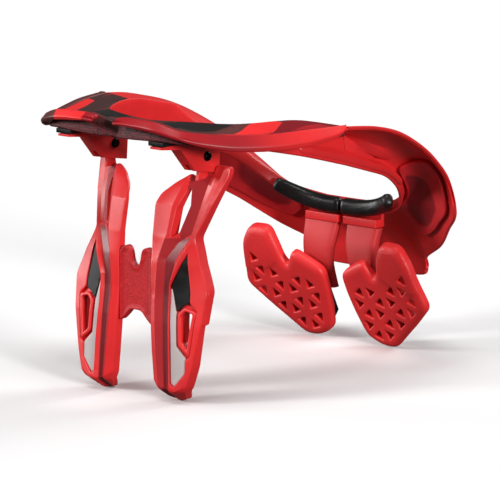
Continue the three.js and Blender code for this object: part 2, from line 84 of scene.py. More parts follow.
# Bumper section: heel under the foot, belly up its face and out from it, lip over the deck
BUMPER_HEEL = 1.6
BELLY_AT = 0.32
BELLY_OUT = 2.2
BUMPER_LIP = 3.0
# Folded facets of one half of the chest table: three corners x y and the depth
DECK_FACETS = [
    ((63, -122), (88, -74), (60, -82), 3.0), ((58, -146), (34, -152), (34, -116), 2.6),
    ((34, -152), (12, -150), (28, -114), 1.8),
]
# Steps between table rows, and points on a half-round edge
COLLAR_STEPS = 14
SHELL_STEPS = 12
EDGE_ARC = 4

# Rear shell rows, from the shoulder round to the middle of the tail
# neck wall foot x y z, neck edge x y z, rim x y z, swell, swell lean, rim lip drop
SHELL_ROWS = [
    [79.5, 8.5, 158.3, 76, 8.5, 185.8, 116.2, -31.8, 194.4, -1.0, 0, 5],
    [78.5, 36, 150, 76, 33, 168, 117.8, -2, 190.8, 4, 5, 5],
    [75.5, 60, 142.5, 75, 58, 155, 118.5, 25, 183.4, 7, 10, 5],
    [71, 79, 132, 72, 79, 142.5, 119, 50, 170.3, 8, 20, 5],
    [64, 92.5, 121.5, 66, 94, 130, 119.2, 68, 156.5, 9, 35, 5],
    [56, 100.5, 112.5, 57, 103, 120.5, 119.2, 82, 140.7, 10, 50, 5],
    [45, 105, 106.5, 46, 108.5, 114.5, 118.5, 91, 117, 9, 60, 4],
    [35, 108, 104, 36, 111, 112.6, 99, 108.5, 100.5, 8, 62, 4],
    [26, 109.5, 103, 27, 112.3, 111.6, 78, 126.5, 83.5, 8, 62, 4],
    [18, 110.5, 102.5, 19, 113, 111, 54, 140.5, 70, 6, 62, 4],
    [12, 111, 102.5, 13, 113.5, 111, 51.5, 144.5, 61, 6, 62, 4],
    [6, 111, 102.5, 7, 113.5, 111, 43, 147, 55, 6, 62, 4],
    [0, 111, 102.5, 0, 113.5, 111, 0, 148, 54.5, 6, 62, 4],
]
# The same columns on the deck's neck wall, for the tongue that crosses the joint
NECK_LEAD = [
    [75, -56, 175, 71, -55, 197, 98, -70, 196, 0, 0, 5],
    [79, -33, 169.5, 75, -33, 195, 117, -40, 195, 0, 0, 5],
]
SHELL_THICK = 3.0
LINER_THICK = 2.4
TONGUE_THICK = 3.0
# Gaps under liner and tongue, and how far the blank field of a liner is sunk
LINER_GAP = 0.5
TONGUE_GAP = 0.4
FIELD_SUNK = 0.9
# Swell at the two arches of the shell, as shares across and of the table's swell
ARCH_AT = (0.3, 0.7)
ARCH_SHARE = 0.9
# Share of the table's lip drop that the rim's lip falls, how far it reaches out, and the rib
LIP_SHARE = 0.3
LIP_OUT = 0.5
RIB_TALL = 3.4
# Outlines on the inner side of the shell: station times ten, corner number times ten
LINER_OUTLINE = [
    (28, 13), (35, 25), (41, 34), (48, 36), (63, 36.8), (73, 36), (82, 34), (82, 27), (72, 18),
    (60, 12.5), (45, 9.5), (34, 8.5),
]
FIELD_OUTLINE = [
    (33, 13.5), (42, 21), (48, 25), (57, 28.5), (63, 31.5), (71, 33), (77, 32.5), (79, 29), (77, 25),
    (70, 20.5), (60, 15.5), (45, 12.5), (36, 11.5),
]
TONGUE_OUTLINE = [
    (7, 0.2), (20, 0.3), (34, 0.2), (46, 0.3), (50, 0.6), (52.5, 3), (51, 6), (45, 6.6), (34, 5.0),
    (26, 3.8), (20, 3.2), (12, 2.9), (7, 2.6),
]

# Shoulder-blade pads: x across, s up the leaning face
PAD_OUTLINE = [
    (53, 92.6), (71, 92.3), (79, 78), (81.5, 62), (86, 40.5), (69, 23.5), (52, 8), (43, -0.4), (30, 0),
    (17, 7), (12, 27), (9.5, 44), (9, 61), (19, 67.5), (33.5, 75.5), (38, 67), (41, 61.5), (45, 66),
    (47.5, 78),
]
PAD_HOLES = [
    (0, 0, 0), (0, 0, 1), (0, 0, 2), (0, 0, 3), (0, 0, 4), (0, 0, 5), (1, 0, 0), (1, 0, 1), (1, 0, 2),
    (1, 0, 5), (1, 1, 0), (-1, 1, 1), (-1, 1, 2), (-1, 1, 3), (-1, 1, 4), (-1, 0, 3), (-1, 0, 4),
    (-1, 0, 5),
]
PAD_THICK = 7.5
PAD_RIM_WIDE = 4.6
PAD_RIM_DEEP = 1.5
LOBE_OUTLINE = [(44, 100), (76, 100), (90, 84), (94, 58), (76, 52), (60, 56), (47, 64)]
LOBE_PROUD = 0.5
LOBE_BEVEL = 1.6
PAD_LEAN = -0.465
PAD_YAW = -0.033
PAD_FACE_Y = 117.6
PAD_BEND_FROM = 55.0
PAD_BEND_RADIUS = 83.3
HOLE_SIDE = 8.4
LATTICE_SIDE = 18.9
LATTICE_TURN = 40.3
LATTICE_CENTRE = (48.8, 32.75)

# Chest struts: x across, z up
STRUT_OUTLINE = [
    (19.5, 14), (23, 7), (29, 1), (35, 0), (42, 2.5), (49, 12), (53, 26), (59, 58), (61, 81), (46, 117),
    (54, 141), (60, 160), (60, 167), (49.5, 168), (49, 159.6), (35.9, 159.6), (34.0, 161.3),
    (23.9, 154.9), (15.6, 147), (13.8, 139.6), (14.6, 125), (15.3, 106), (15, 86), (15.9, 58),
    (17.5, 34),
]
STRUT_WINDOW = [
    (29.2, 117), (34.3, 120.8), (38.9, 140), (37.3, 151.5), (35.2, 150.5), (30.8, 137),
]
STRUT_POCKET = [
    (43, 107.8), (48.6, 80), (48.9, 73), (54.8, 67.8), (51.1, 34.8), (47.8, 33), (47.8, 23), (39, 12.3),
    (35.4, 14.6), (34.2, 40), (32.6, 65), (32.2, 84),
]
INLAY_BLACK = [(43, 107), (48.3, 80), (48.4, 72.8), (43.6, 70.5), (38.7, 65.9), (33, 84.6)]
INLAY_WHITE = [
    (32.4, 81.4), (33.4, 81.6), (37.8, 65), (39.4, 41.4), (47.4, 33.4), (47.4, 23.1), (39, 12.8),
    (35.8, 15.2), (34.7, 40), (33.1, 65),
]
SLOT_RING = [(45, 69.8), (54.3, 67.3), (50.6, 35.4), (41.2, 42.6), (40, 64.7)]
RING_WALL = 2.3
RING_PROUD = 0.8
STRUT_SKIN = 2.2
STRUT_DEPTH = 10.4
INLAY_SUNK = 0.25
INLAY_DEEP = 1.3
INLAY_GAP = 0.2
RING_DEEP = 6.0
FACE_GAP = 0.35
BACK_LEAST = 0.8
# Step in the outer edge of the frame: beyond this X and between these heights it lies further in
STEP_X = 40
STEP_Z = (31, 57)
STEP_IN = 2.4

# Front of the strut: z, y of the middle, slope of y across the width, depth
STRUT_FACE = np.array([
    [-4, -117.5, 0.05, 10.4], [9.5, -130.8, 0.08, 10.4], [36, -130, 0.12, 10.4],
    [57, -128.8, 0.14, 10.4], [77, -126.5, 0.17, 10.4], [100, -125.6, 0.3, 10.4], [117, -123, 0.45, 10],
    [141, -117.6, 0.47, 8.5], [163, -111, 0.52, 6], [172, -108.5, 0.54, 4],
])
STRUT_MIDDLE = 28.0
# Creases of that front: z, then x of the inner edge, rail, groove, band, ridge and outer edge
STRUT_CREASES = np.array([
    [-4, 24, 28, 32, 34, 35.6, 46], [10, 19.8, 25.7, 30, 33, 35.3, 49.5],
    [30, 18.2, 23.5, 28, 32, 34.6, 53.5], [50, 16, 21.8, 26.5, 31, 33.6, 57],
    [73, 15, 20.2, 25, 30, 32.4, 60], [85, 14.6, 20.8, 25.6, 30, 32, 60],
    [102, 15, 22.2, 26.5, 34, 38, 53], [114, 14.5, 25.5, 34, 40, 43.5, 47.5],
    [120, 14.5, 27, 41.5, 43.5, 46, 47.5], [140, 14, 28.2, 45, 48, 51.5, 53.5],
    [153, 20, 31, 46.7, 50.5, 54.5, 57.5], [168, 34, 37, 49, 53, 57.5, 60.5],
])
# How far each crease is set back from the plain front, below and above the bend
CREASE_BACK_LOW = np.array([2.4, -0.4, 2.4, 1.8, -1.3, 0.2])
CREASE_BACK_HIGH = np.array([4.2, -0.6, 3.0, 1.4, -0.9, 0.4])
CREASE_BEND = (96.0, 114.0)
# Above this height the inner edge and the rail lean back by these slopes
SHOULDER_Z = 140.0
SHOULDER_LEAN = (0.30, 0.16)
# Line x z under which the tip falls back by this slope
TIP_LINE = np.array([[19.8, 15.3], [27.8, 10.8], [36.8, 8.0], [46.9, 13.1]])
TIP_LEAN = 0.5
# Darker strips of the front, all in one dark red: the band beyond the groove up to this height is the
# strut's own darker colour, while the rail's facet up to this height and the strip beside the window
# above it are painted shade
TONE_TOP = 117.0
WINDOW_SIDE = 35.0
GROOVE_TONE = 0.85
RAIL_PAINTED_SHADE = 0.55
WINDOW_PAINTED_SHADE = 0.65

# Neck pads: path x y z, then a share of the section, which is a squared oval
NECK_PATH = [
    [4, 105.6, 104.6, 1.0], [16, 105.2, 104.8, 1.0], [29, 104, 106.6, 1.0], [40, 101.5, 110, 0.97],
    [48, 97.6, 113.6, 0.92], [52, 94.6, 116.2, 0.84],
]
NECK_WIDE = 9.8
NECK_TALL = 12.4
NECK_POWER = 0.72

BRIDGE_OUTLINE = [
    (-15.3, 103), (-10, 108.5), (-6, 106), (-4, 96), (0, 92.5), (4, 96), (6, 106), (10, 108.5),
    (15.3, 103), (15.3, 52.5), (10, 57), (5, 62.5), (-5, 62.5), (-10, 57), (-15.3, 52.5),
]
BRIDGE_FRONT = -126.0
BRIDGE_THICK = 6.0
BRIDGE_BORDER = 1.6
BRIDGE_SUNK = 0.7

HINGE = (-103.7, 175.0)
HINGE_X = 43.0
SOCKET_FLAT = 1.35
# Bolt: x from its middle, radius, share of the hexagon
BOLT_STATIONS = [
    (-6.9, 0.6, 0), (-6.9, 2.6, 0), (-6.2, 3.3, 0), (-5.05, 3.6, 0), (-5.05, 2.3, 0), (5.05, 2.3, 0),
    (5.05, 3.6, 0), (6.2, 3.3, 0), (6.9, 2.6, 0), (7.1, 1.75, 0), (6.9, 0, 1.0), (5.6, 0, 1.0),
    (5.5, 0, 0.2),
]
EYE_RADIUS = 6.8
EYE_THICK = 2.9
EYE_BORE = 2.6
STEM_HALF = 5.6
STEM_FOOT = 158.0
# Arm: z, y of the front, x of its two edges
ARM_ROWS = [
    [91.2, 104.8, 6, 33.5], [84, 102.6, 6.5, 33], [77, 101, 7.5, 32.5], [70, 100.4, 9, 32],
    [62, 101.3, 10.5, 31.5], [54, 104.5, 12, 31], [40, 111, 13.5, 31],
]
ARM_DEEP = 7.6
ARM_EDGE = 0.35

# Suns: name, turn and height in degrees, power, spread in degrees
SUNS = (
    ("key", -32, 24, 1.7, 14), ("sheen", -68, 6, 1.6, 26), ("right", 70, 13, 2.6, 12),
    ("top", 20, 76, 1.3, 30), ("back", 160, 34, 1.2, 30),
)
WORLD_POWER = 0.08
CAMERA_TURN = 40.0
CAMERA_HEIGHT = 10.95
CAMERA_AWAY = 3.6232
CAMERA_LENS = 360.0
SENSOR = 36.0
TARGET_Z = 0.0868


def area_of(loop):
    """Signed area of a loop: half the sum of the cross products of neighbouring points."""
    x, y = loop.T
    return 0.5 * np.sum(x * np.roll(y, -1) - y * np.roll(x, -1))


def turned(loop, way):
    """The loop itself or reversed, so that it runs counterclockwise for a way of one."""
    return loop if np.sign(area_of(loop)) == way else loop[::-1]


# Materials

class Socket:
    """A value inside a material; sums and products of sockets add Math nodes."""

    def __init__(self, finish, socket):
        self.finish = finish
        self.socket = socket

    def math(self, operation, *values):
        return self.finish.node("ShaderNodeMath", {"operation": operation}, dict(enumerate(values)))

    def __add__(self, other):
        return self.math("ADD", self, other)

    def __radd__(self, other):
        return self.math("ADD", other, self)

    def __mul__(self, other):
        return self.math("MULTIPLY", self, other)

    def __rmul__(self, other):
        return self.math("MULTIPLY", other, self)

    def above(self, other):
        return self.math("GREATER_THAN", self, other)


class Finish:
    """One material, built round its Principled shader; place is the object-space position."""

    def __init__(self, name):
        self.material = bpy.data.materials.new(name)
        self.material.use_nodes = True
        self.tree = self.material.node_tree
        self.shader = self.tree.nodes["Principled BSDF"]
        self.place = self.node("ShaderNodeTexCoord", out="Object")

    def node(self, kind, settings=None, inputs=None, out=0):
        made = self.tree.nodes.new(kind)
        for key, value in (settings or {}).items():
            setattr(made, key, value)
        for key, value in (inputs or {}).items():
            self.feed(made.inputs[key], value)
        return Socket(self, made.outputs[out])

    def feed(self, socket, value):
        if isinstance(value, Socket):
            self.tree.links.new(value.socket, socket)
        else:
            socket.default_value = value

    def set(self, **inputs):
        for name, value in inputs.items():
            self.feed(self.shader.inputs[name.replace("_", " ")], value)
        return self

    def mix(self, share, first, second):
        pair = [v if isinstance(v, Socket) else (*v, 1.0) for v in (first, second)]
        inputs = {0: share, 6: pair[0], 7: pair[1]}
        return self.node("ShaderNodeMix", {"data_type": "RGBA"}, inputs, out=2)

    def noise(self, scale, detail=2.0):
        inputs = {"Vector": self.place, "Scale": scale, "Detail": detail}
        return self.node("ShaderNodeTexNoise", inputs=inputs)

    def cells(self, scale, feature="F1"):
        inputs = {"Vector": self.place, "Scale": scale}
        return self.node("ShaderNodeTexVoronoi", {"feature": feature}, inputs)

    def attribute(self, name):
        return self.node("ShaderNodeAttribute", {"attribute_name": name}, out="Fac")

    def ramp(self, value, low, high):
        inputs = {"Value": value, "From Min": low, "From Max": high}
        return self.node("ShaderNodeMapRange", {"interpolation_type": "SMOOTHSTEP"}, inputs)

    def drifting(self, drift, amount, colour, shade):
        """A colour that drifts with a slow noise towards its shade, by the amount at most."""
        return self.mix(self.ramp(drift, 0.42, 0.78) * amount, colour, shade)

    def netting(self):
        """A fine net: zero on its threads and one in its meshes."""
        return self.ramp(self.cells(NET_SCALE, feature="DISTANCE_TO_EDGE"), 0.02, 0.16)

    def within(self, corners):
        """One inside a convex polygon of plan millimetres and zero outside: a product of one
        half-plane test for each side."""
        loop = turned(np.array(corners, float), 1)
        result = 1.0
        for a, b in zip(loop, np.roll(loop, -1, 0)):
            inward = np.array([a[1] - b[1], b[0] - a[0]])
            limit = inward @ (a + (0, CENTRE_SHIFT)) * MM
            inputs = {0: self.place, 1: (*inward, 0.0)}
            reach = self.node("ShaderNodeVectorMath", {"operation": "DOT_PRODUCT"}, inputs, out="Value")
            result = reach.above(limit) * result
        return result

    def bump(self, height, strength, distance=0.0003):
        inputs = {"Height": height, "Strength": strength, "Distance": distance}
        return self.node("ShaderNodeBump", inputs=inputs)


BRIGHT = (0.78, 0.024, 0.026)
DEEP = (0.45, 0.010, 0.016)
DARK = (0.22, 0.006, 0.012)
MAROON = (0.115, 0.028, 0.026)
UMBER = (0.060, 0.024, 0.022)
SOOT = (0.016, 0.012, 0.012)
NETTED = (0.16, 0.016, 0.022)
# Dark red that the struts' tone mixes in: their own darker band, and painted shade on the rail facet
# and beside the window
STRUT_BAND_AND_PAINTED_SHADE = (0.15, 0.012, 0.018)
ARM_RED = (0.60, 0.026, 0.028)
ARM_SHADE = (0.48, 0.02, 0.022)
LINER_RED = (0.66, 0.018, 0.024)
LINER_FIELD = (0.30, 0.008, 0.014)
# Noise scales, per metre
SLOW_DRIFT = 22.0
COARSE_GRAIN = 420.0
FINE_GRAIN = 1500.0
NET_SCALE = 520.0
# Bumper: plan corners of a painted highlight over the bulge at the right bumper's front, of painted
# shade in maroon over the right bumper's side, and the front part that darkens
RIGHT_NOSE_PAINTED_HIGHLIGHT = [(-46, -170), (-18, -170), (-18, -140), (-46, -140)]
RIGHT_BUMPER_PAINTED_SHADE = [(-46, -170), (-48, 10), (-130, 10), (-130, -170)]
FRONT_FADE = (-0.05, -0.13)


def moulded(name, colour, shade, rough, grain=0.12, tone=None):
    """Satin moulded plastic: colour drifts a little towards its shade, under a fine pitted grain."""
    finish = Finish(name)
    drift = finish.noise(SLOW_DRIFT, 3.0)
    body = finish.drifting(drift, 0.45, colour, shade)
    if tone:
        # The tone colour: the liner's darker field, and on the struts a darker band of their own colour
        # together with painted shade
        body = finish.mix(finish.attribute("tone"), body, tone)
    pits = finish.noise(FINE_GRAIN, 2.0) + finish.noise(COARSE_GRAIN, 2.0) * 0.6
    scuff = finish.ramp(finish.noise(90.0, 6.0), 0.55, 0.75)
    finish.set(Base_Color=body, Roughness=rough + drift * 0.08 + scuff * 0.05)
    finish.set(Normal=finish.bump(pits, grain))
    return finish.material


# Facets of the print: colour, then plan corners x y
PRINT_FACETS = [
    (BRIGHT, [(-94, -124), (-76, -108), (-98, -58), (-112, -56)]),
    (UMBER, [(-76, -108), (-60, -88), (-74, -44), (-98, -58)]),
    (DARK, [(-70, -138), (-54, -108), (-62, -90), (-86, -116)]),
    (SOOT, [(-60, -118), (-60, -98), (-30, -98), (-14, -104), (-20, -139), (-40, -136)]),
    (MAROON, [(-30, -127), (-10, -148), (-4, -122)]),
    (UMBER, [(-10, -148), (16, -160), (30, -112), (-4, -104)]),
    (SOOT, [(22, -130), (28, -100), (58, -82), (60, -110), (50, -142)]),
    (BRIGHT, [(70, -124), (64, -66), (75, -54), (91, -90), (94, -108)]),
    (DARK, [(91, -90), (75, -54), (72, 20), (124, 20), (124, -70)]),
    (DEEP, [(90, -64), (81, -20), (98, 14), (110, -40)]),
    (UMBER, [(-74, -44), (-72, 20), (-124, 20), (-120, -60), (-98, -58)]),
]


def camouflage(name):
    """A plain faceted print in the object's reds, maroon and black on the top, marked by a tone of
    zero; a tone of one is plain red and minus one the netted dark face under the front edge."""
    finish = Finish(name)
    zone = finish.attribute("tone")
    drift = finish.noise(SLOW_DRIFT, 3.0)
    body = finish.drifting(drift, 0.5, MAROON, UMBER)
    for colour, corners in PRINT_FACETS:
        body = finish.mix(finish.within(corners), body, colour)
    red = finish.drifting(drift, 0.4, BRIGHT, DEEP)
    body = finish.mix(zone.above(0.5), body, red)
    netted = (zone * -1.0).above(0.5)
    net = finish.netting()
    body = finish.mix(netted, body, finish.mix(net, SOOT, NETTED))
    pits = finish.noise(FINE_GRAIN, 2.0) * 0.25 + finish.noise(COARSE_GRAIN, 2.0) * 0.15
    pits = pits + net * netted * 1.5
    finish.set(Base_Color=body, Roughness=0.4 + finish.noise(60.0) * 0.08 + netted * 0.15,
               Specular_IOR_Level=0.3)
    finish.set(Normal=finish.bump(pits, 0.45))
    return finish.material


def gripped(name):
    """Bumper plastic that darkens towards the front; its underside, marked by the attribute tone, is
    dark with a fine netted grain."""
    finish = Finish(name)
    under = finish.attribute("tone")
    drift = finish.noise(SLOW_DRIFT, 3.0)
    body = finish.drifting(drift, 0.4, BRIGHT, DEEP)
    forward = finish.node("ShaderNodeSeparateXYZ", inputs={"Vector": finish.place}, out="Y")
    body = finish.mix(finish.ramp(forward, *FRONT_FADE), body, finish.mix(drift, DEEP, DARK))
    # Painted highlight: the front of the right bumper is turned back to full bright red
    body = finish.mix(finish.within(RIGHT_NOSE_PAINTED_HIGHLIGHT), body, BRIGHT)
    # Painted shade: the rest of the right bumper's side is turned maroon
    body = finish.mix(finish.within(RIGHT_BUMPER_PAINTED_SHADE), body, MAROON)
    net = finish.netting()
    body = finish.mix(under, body, finish.mix(net, SOOT, DARK))
    height = net * under * 1.5 + finish.noise(FINE_GRAIN, 2.0) * 0.2
    finish.set(Base_Color=body, Roughness=0.36 + under * 0.26 + drift * 0.06, Specular_IOR_Level=0.34)
    finish.set(Normal=finish.bump(height, 0.45))
    return finish.material


def foam(name):
    """Skinned black foam: a soft pebbled skin with a faint sheen."""
    finish = Finish(name)
    pebble = finish.cells(900.0, feature="SMOOTH_F1")
    drift = finish.noise(45.0, 4.0)
    body = finish.mix(finish.ramp(drift, 0.4, 0.7), (0.003, 0.003, 0.003), (0.008, 0.008, 0.008))
    finish.set(Base_Color=body, Roughness=0.30 + drift * 0.14, Specular_IOR_Level=0.36)
    finish.set(Normal=finish.bump(pebble * 0.8 + drift * 2.0, 0.35))
    return finish.material


def grained(name):
    """Coarse cast grain of the plate between the struts."""
    finish = Finish(name)
    lumps = finish.noise(620.0, 3.0)
    drift = finish.noise(40.0, 3.0)
    body = finish.mix(finish.ramp(lumps, 0.3, 0.75), (0.44, 0.008, 0.012), (0.60, 0.013, 0.018))
    finish.set(Base_Color=body, Roughness=0.46 + drift * 0.1, Specular_IOR_Level=0.34)
    finish.set(Normal=finish.bump(lumps, 0.5, 0.0005))
    return finish.material


def pad_skin(name):
    """Moulded pad: satin red with a fine dimple pattern on the raised parts, marked by tone."""
    finish = Finish(name)
    drift = finish.noise(SLOW_DRIFT, 3.0)
    body = finish.drifting(drift, 0.4, BRIGHT, DEEP)
    dimple = finish.cells(760.0)
    height = dimple * finish.attribute("tone") * 1.4 + finish.noise(1300.0, 2.0) * 0.25
    finish.set(Base_Color=body, Roughness=0.44 + drift * 0.08, Normal=finish.bump(height, 0.4))
    return finish.material


def plain_black(name, rough, metallic=0.0):
    """Plain black plastic or blackened steel with a faint grain."""
    finish = Finish(name)
    drift = finish.noise(120.0, 4.0)
    body = finish.mix(finish.ramp(drift, 0.4, 0.7), (0.004, 0.004, 0.004), (0.010, 0.010, 0.010))
    finish.set(Base_Color=body, Roughness=rough + drift * 0.12, Metallic=metallic,
               Specular_IOR_Level=0.22)
    finish.set(Normal=finish.bump(finish.noise(1400.0, 2.0), 0.15))
    return finish.material


def pale_inlay(name):
    """Smooth pale grey inlay."""
    finish = Finish(name)
    drift = finish.noise(30.0, 3.0)
    body = finish.mix(finish.ramp(drift, 0.35, 0.7), (0.55, 0.49, 0.48), (0.47, 0.41, 0.40))
    finish.set(Base_Color=body, Roughness=0.34 + drift * 0.1)
    finish.set(Normal=finish.bump(finish.noise(FINE_GRAIN, 2.0), 0.08))
    return finish.material


def studio_floor(name):
    """Matt, nearly white floor."""
    finish = Finish(name)
    finish.set(Base_Color=(0.93, 0.93, 0.93, 1.0), Roughness=0.7)
    return finish.material


shell_red = moulded("satin_red_shell", BRIGHT, DEEP, 0.36)
strut_red = moulded("satin_red_strut", BRIGHT, DEEP, 0.33, tone=STRUT_BAND_AND_PAINTED_SHADE)
arm_red = moulded("matt_red_arm", ARM_RED, ARM_SHADE, 0.56, grain=0.3)
liner_red = moulded("liner_red", LINER_RED, DEEP, 0.4, tone=LINER_FIELD)
bumper_red = gripped("bumper_red")
deck_print = camouflage("deck_camouflage")
pad_red = pad_skin("pad_red")
bridge_grain = grained("bridge_grain")
foam_black = foam("foam_black")
satin_black = plain_black("satin_black", 0.38)
steel_black = plain_black("blackened_steel", 0.22, 0.85)
inlay_pale = pale_inlay("inlay_pale")


# Shapes

def unit(vectors):
    """Each vector over its own length."""
    return vectors / np.maximum(np.linalg.norm(vectors, axis=-1, keepdims=True), 1e-9)


def smooth_rows(rows, steps):
    """A table read at steps places between neighbouring rows, on a cubic curve through its rows."""
    rows = np.asarray(rows, float)
    last = len(rows) - 1
    t = np.linspace(0, last, last * steps + 1)
    i = np.minimum(t.astype(int), last - 1)
    f = (t - i)[:, None]
    before, a, b, after = (rows[np.clip(i + k, 0, last)] for k in (-1, 0, 1, 2))
    hold = 2 * f**3 - 3 * f**2 + 1
    curve = (f**3 - 2 * f**2 + f) * (b - before) / 2 + (f**3 - f**2) * (after - a) / 2
    return hold * a + (1 - hold) * b + curve


def grid_faces(rows, cols, first=0, closed=True):
    """Quads between neighbouring rows of a grid whose points are numbered row by row."""
    r = np.arange(rows - 1)[:, None]
    c = np.arange(cols if closed else cols - 1)[None, :]
    d = (c + 1) % cols
    quads = np.stack([r * cols + c, r * cols + d, (r + 1) * cols + d, (r + 1) * cols + c], -1)
    return quads.reshape(-1, 4) + first


def filleted(controls, shares, steps=5):
    """Cross-sections (rows, corners, 3): each inner corner becomes a quadratic curve that leaves and
    meets its two sides at the given share of their length."""
    t = np.linspace(0, 1, steps)[None, :, None]
    parts = [controls[:, :1]]
    for j, share in enumerate(shares, 1):
        p = controls[:, j:j + 1]
        a = p + (controls[:, j - 1:j] - p) * share
        b = p + (controls[:, j + 1:j + 2] - p) * share
        parts.append((1 - t) ** 2 * a + 2 * t * (1 - t) * p + t**2 * b)
    parts.append(controls[:, -1:])
    return np.concatenate(parts, axis=1)


def corner_numbers(shares, steps):
    """The corner number that each point of a filleted cross-section stands for."""
    curves = [np.linspace(j - share, j + share, steps) for j, share in enumerate(shares, 1)]
    return np.concatenate([[0.0], *curves, [len(shares) + 1.0]])


def mirrored_rows(half):
    """Rows from the middle outward, joined to their mirror image in X across the middle row."""
    return np.concatenate([half[:0:-1] * (-1, 1, 1), half])


def normals_of(grid):
    """Unit normals of a grid: cross products of its two directions."""
    return unit(np.cross(np.gradient(grid, axis=0), np.gradient(grid, axis=1)))


def half_round(a, b, outward, count):
    """Points on the half circle from a to b that bulges outward, for every row."""
    middle, half = (a + b) / 2, (a - b) / 2
    reach = unit(outward) * np.linalg.norm(half, axis=-1, keepdims=True)
    angle = np.linspace(0, np.pi, count + 2)[1:-1][None, :, None]
    return middle[:, None] + half[:, None] * np.cos(angle) + reach[:, None] * np.sin(angle)


def wall_loops(top, thick):
    """Closed cross-sections of a wall: its face, a half-round edge, the face moved back along its
    normals by the thickness, and the other half-round edge."""
    under = top - normals_of(top) * thick
    first = half_round(top[:, -1], under[:, -1], top[:, -1] - top[:, -2], EDGE_ARC)
    second = half_round(under[:, 0], top[:, 0], top[:, 0] - top[:, 1], EDGE_ARC)
    return np.concatenate([top, first, under[:, ::-1], second], axis=1)


def round_ends(loops, radius, steps=3):
    """Adds shrinking cross-sections at both ends: each moves on along the path by radius times the
    sine of an angle while it shrinks towards its middle by radius times one minus the cosine."""
    def cap(edge, inner):
        middle = edge.mean(0)
        size = np.linalg.norm(edge - middle, axis=-1).mean()
        onward = unit(middle - inner.mean(0))
        angle = np.linspace(0, np.pi / 2, steps + 1)[1:, None, None]
        shrink = 1 - (1 - np.cos(angle)) * radius / size
        return middle + (edge - middle) * shrink + onward * radius * np.sin(angle)
    start, end = cap(loops[0], loops[1]), cap(loops[-1], loops[-2])
    return np.concatenate([start[::-1], loops, end])


def loop_faces(rows, cols):
    """Quads between closed loops, and one face over each end."""
    ends = [list(range(cols)), list(range((rows - 1) * cols, rows * cols))]
    return grid_faces(rows, cols).tolist() + ends


def add_piece(name, points, faces, material, body, slot, nodes=(), tone=None, sharp=38.0, side=1.0,
              fold=None):
    """One closed mesh from millimetre points; its faces are turned outward and shaded smooth up to
    the sharp angle, and sharp between points whose fold is one. A tone belongs to points or faces."""
    placed = (np.asarray(points, float).reshape(-1, 3) * (side, 1, 1) + (0, CENTRE_SHIFT, 0)) * MM
    mesh = bpy.data.meshes.new(name)
    mesh.from_pydata(placed.tolist(), [], faces)
    if tone is not None:
        tone = np.asarray(tone, np.float32).ravel()
        layer = mesh.attributes.new("tone", "FLOAT", "FACE" if len(tone) == len(faces) else "POINT")
        layer.data.foreach_set("value", tone)
    if fold is not None:
        layer = mesh.attributes.new("fold", "FLOAT", "POINT")
        layer.data.foreach_set("value", np.asarray(fold, np.float32).ravel())
    work = bmesh.new()
    work.from_mesh(mesh)
    bmesh.ops.remove_doubles(work, verts=work.verts, dist=1e-6)
    bmesh.ops.recalc_face_normals(work, faces=work.faces)
    work.to_mesh(mesh)
    work.free()
    mesh.shade_smooth()
    mesh.set_sharp_from_angle(angle=np.radians(sharp))
    if fold is not None:
        folded = np.array([value.value > 0.5 for value in mesh.attributes["fold"].data])
        ends = np.array([edge.vertices[:] for edge in mesh.edges])
        for index in np.flatnonzero(folded[ends].all(axis=1)):
            mesh.edges[index].use_edge_sharp = True
    mesh.materials.append(material)
    piece = bpy.data.objects.new(name, mesh)
    bpy.context.collection.objects.link(piece)
    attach(piece, body)
    if nodes:
        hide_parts(*nodes)
    return piece


def add_pair(name, points, faces, material, body, slot, node=None, **more):
    """The same mesh on the wearer's left and, mirrored, on the right."""
    return [
        add_piece(f"{name}_{word}", points, faces, material, body, slot,
                  [f"{node}_{word}"] if node else (), side=side, **more)
        for word, side in SIDES
    ]


# Plates drawn as outlines

def rounded(outline, radius, steps=4):
    """Each corner of an outline becomes a quadratic curve that starts at most radius away."""
    p = np.asarray(outline, float)
    before, after = np.roll(p, 1, 0) - p, np.roll(p, -1, 0) - p
    reach = [np.minimum(radius, 0.45 * np.linalg.norm(v, axis=1))[:, None] for v in (before, after)]
    a = (p + unit(before) * reach[0])[:, None]
    b = (p + unit(after) * reach[1])[:, None]
    t = np.linspace(0, 1, steps)[None, :, None]
    return ((1 - t) ** 2 * a + 2 * t * (1 - t) * p[:, None] + t**2 * b).reshape(-1, 2)


def moved_in(loop, distance):
    """A loop moved to its left by a distance, with mitred corners."""
    side = unit(np.roll(loop, -1, 0) - loop)
    left = np.stack([-side[:, 1], side[:, 0]], -1)
    mean = unit(left + np.roll(left, 1, 0))
    mitre = np.maximum(np.sum(mean * left, axis=1), 0.5)[:, None]
    return loop + mean * distance / mitre


def densified(loop, step):
    """Points added along a loop so that no side is longer than about one step."""
    after = np.roll(loop, -1, 0)
    counts = np.maximum(np.ceil(np.linalg.norm(after - loop, axis=1) / step).astype(int), 1)
    which = np.repeat(np.arange(len(loop)), counts)
    share = (np.arange(len(which)) - np.repeat(np.cumsum(counts) - counts, counts)) / counts[which]
    return loop[which] + (after - loop)[which] * share[:, None]


def inside(points, loop):
    """Whether each point lies in the loop: an odd number of sides cross the ray to its right."""
    x, y = points[:, 0, None], points[:, 1, None]
    ax, ay = loop.T
    bx, by = np.roll(loop, -1, 0).T
    spans = (ay > y) != (by > y)
    with np.errstate(divide="ignore", invalid="ignore"):
        cross = ax + (y - ay) * (bx - ax) / (by - ay)
    return (np.sum(spans & (x < cross), axis=1) % 2) == 1


def distance_to(points, loop):
    """Distance of each point to the nearest side of a loop."""
    a, b = loop, np.roll(loop, -1, 0)
    d = b - a
    t = np.einsum("ijk,jk->ij", points[:, None] - a, d) / np.maximum(np.sum(d * d, axis=1), 1e-12)
    near = a + np.clip(t, 0, 1)[..., None] * d
    return np.linalg.norm(points[:, None] - near, axis=-1).min(axis=1)


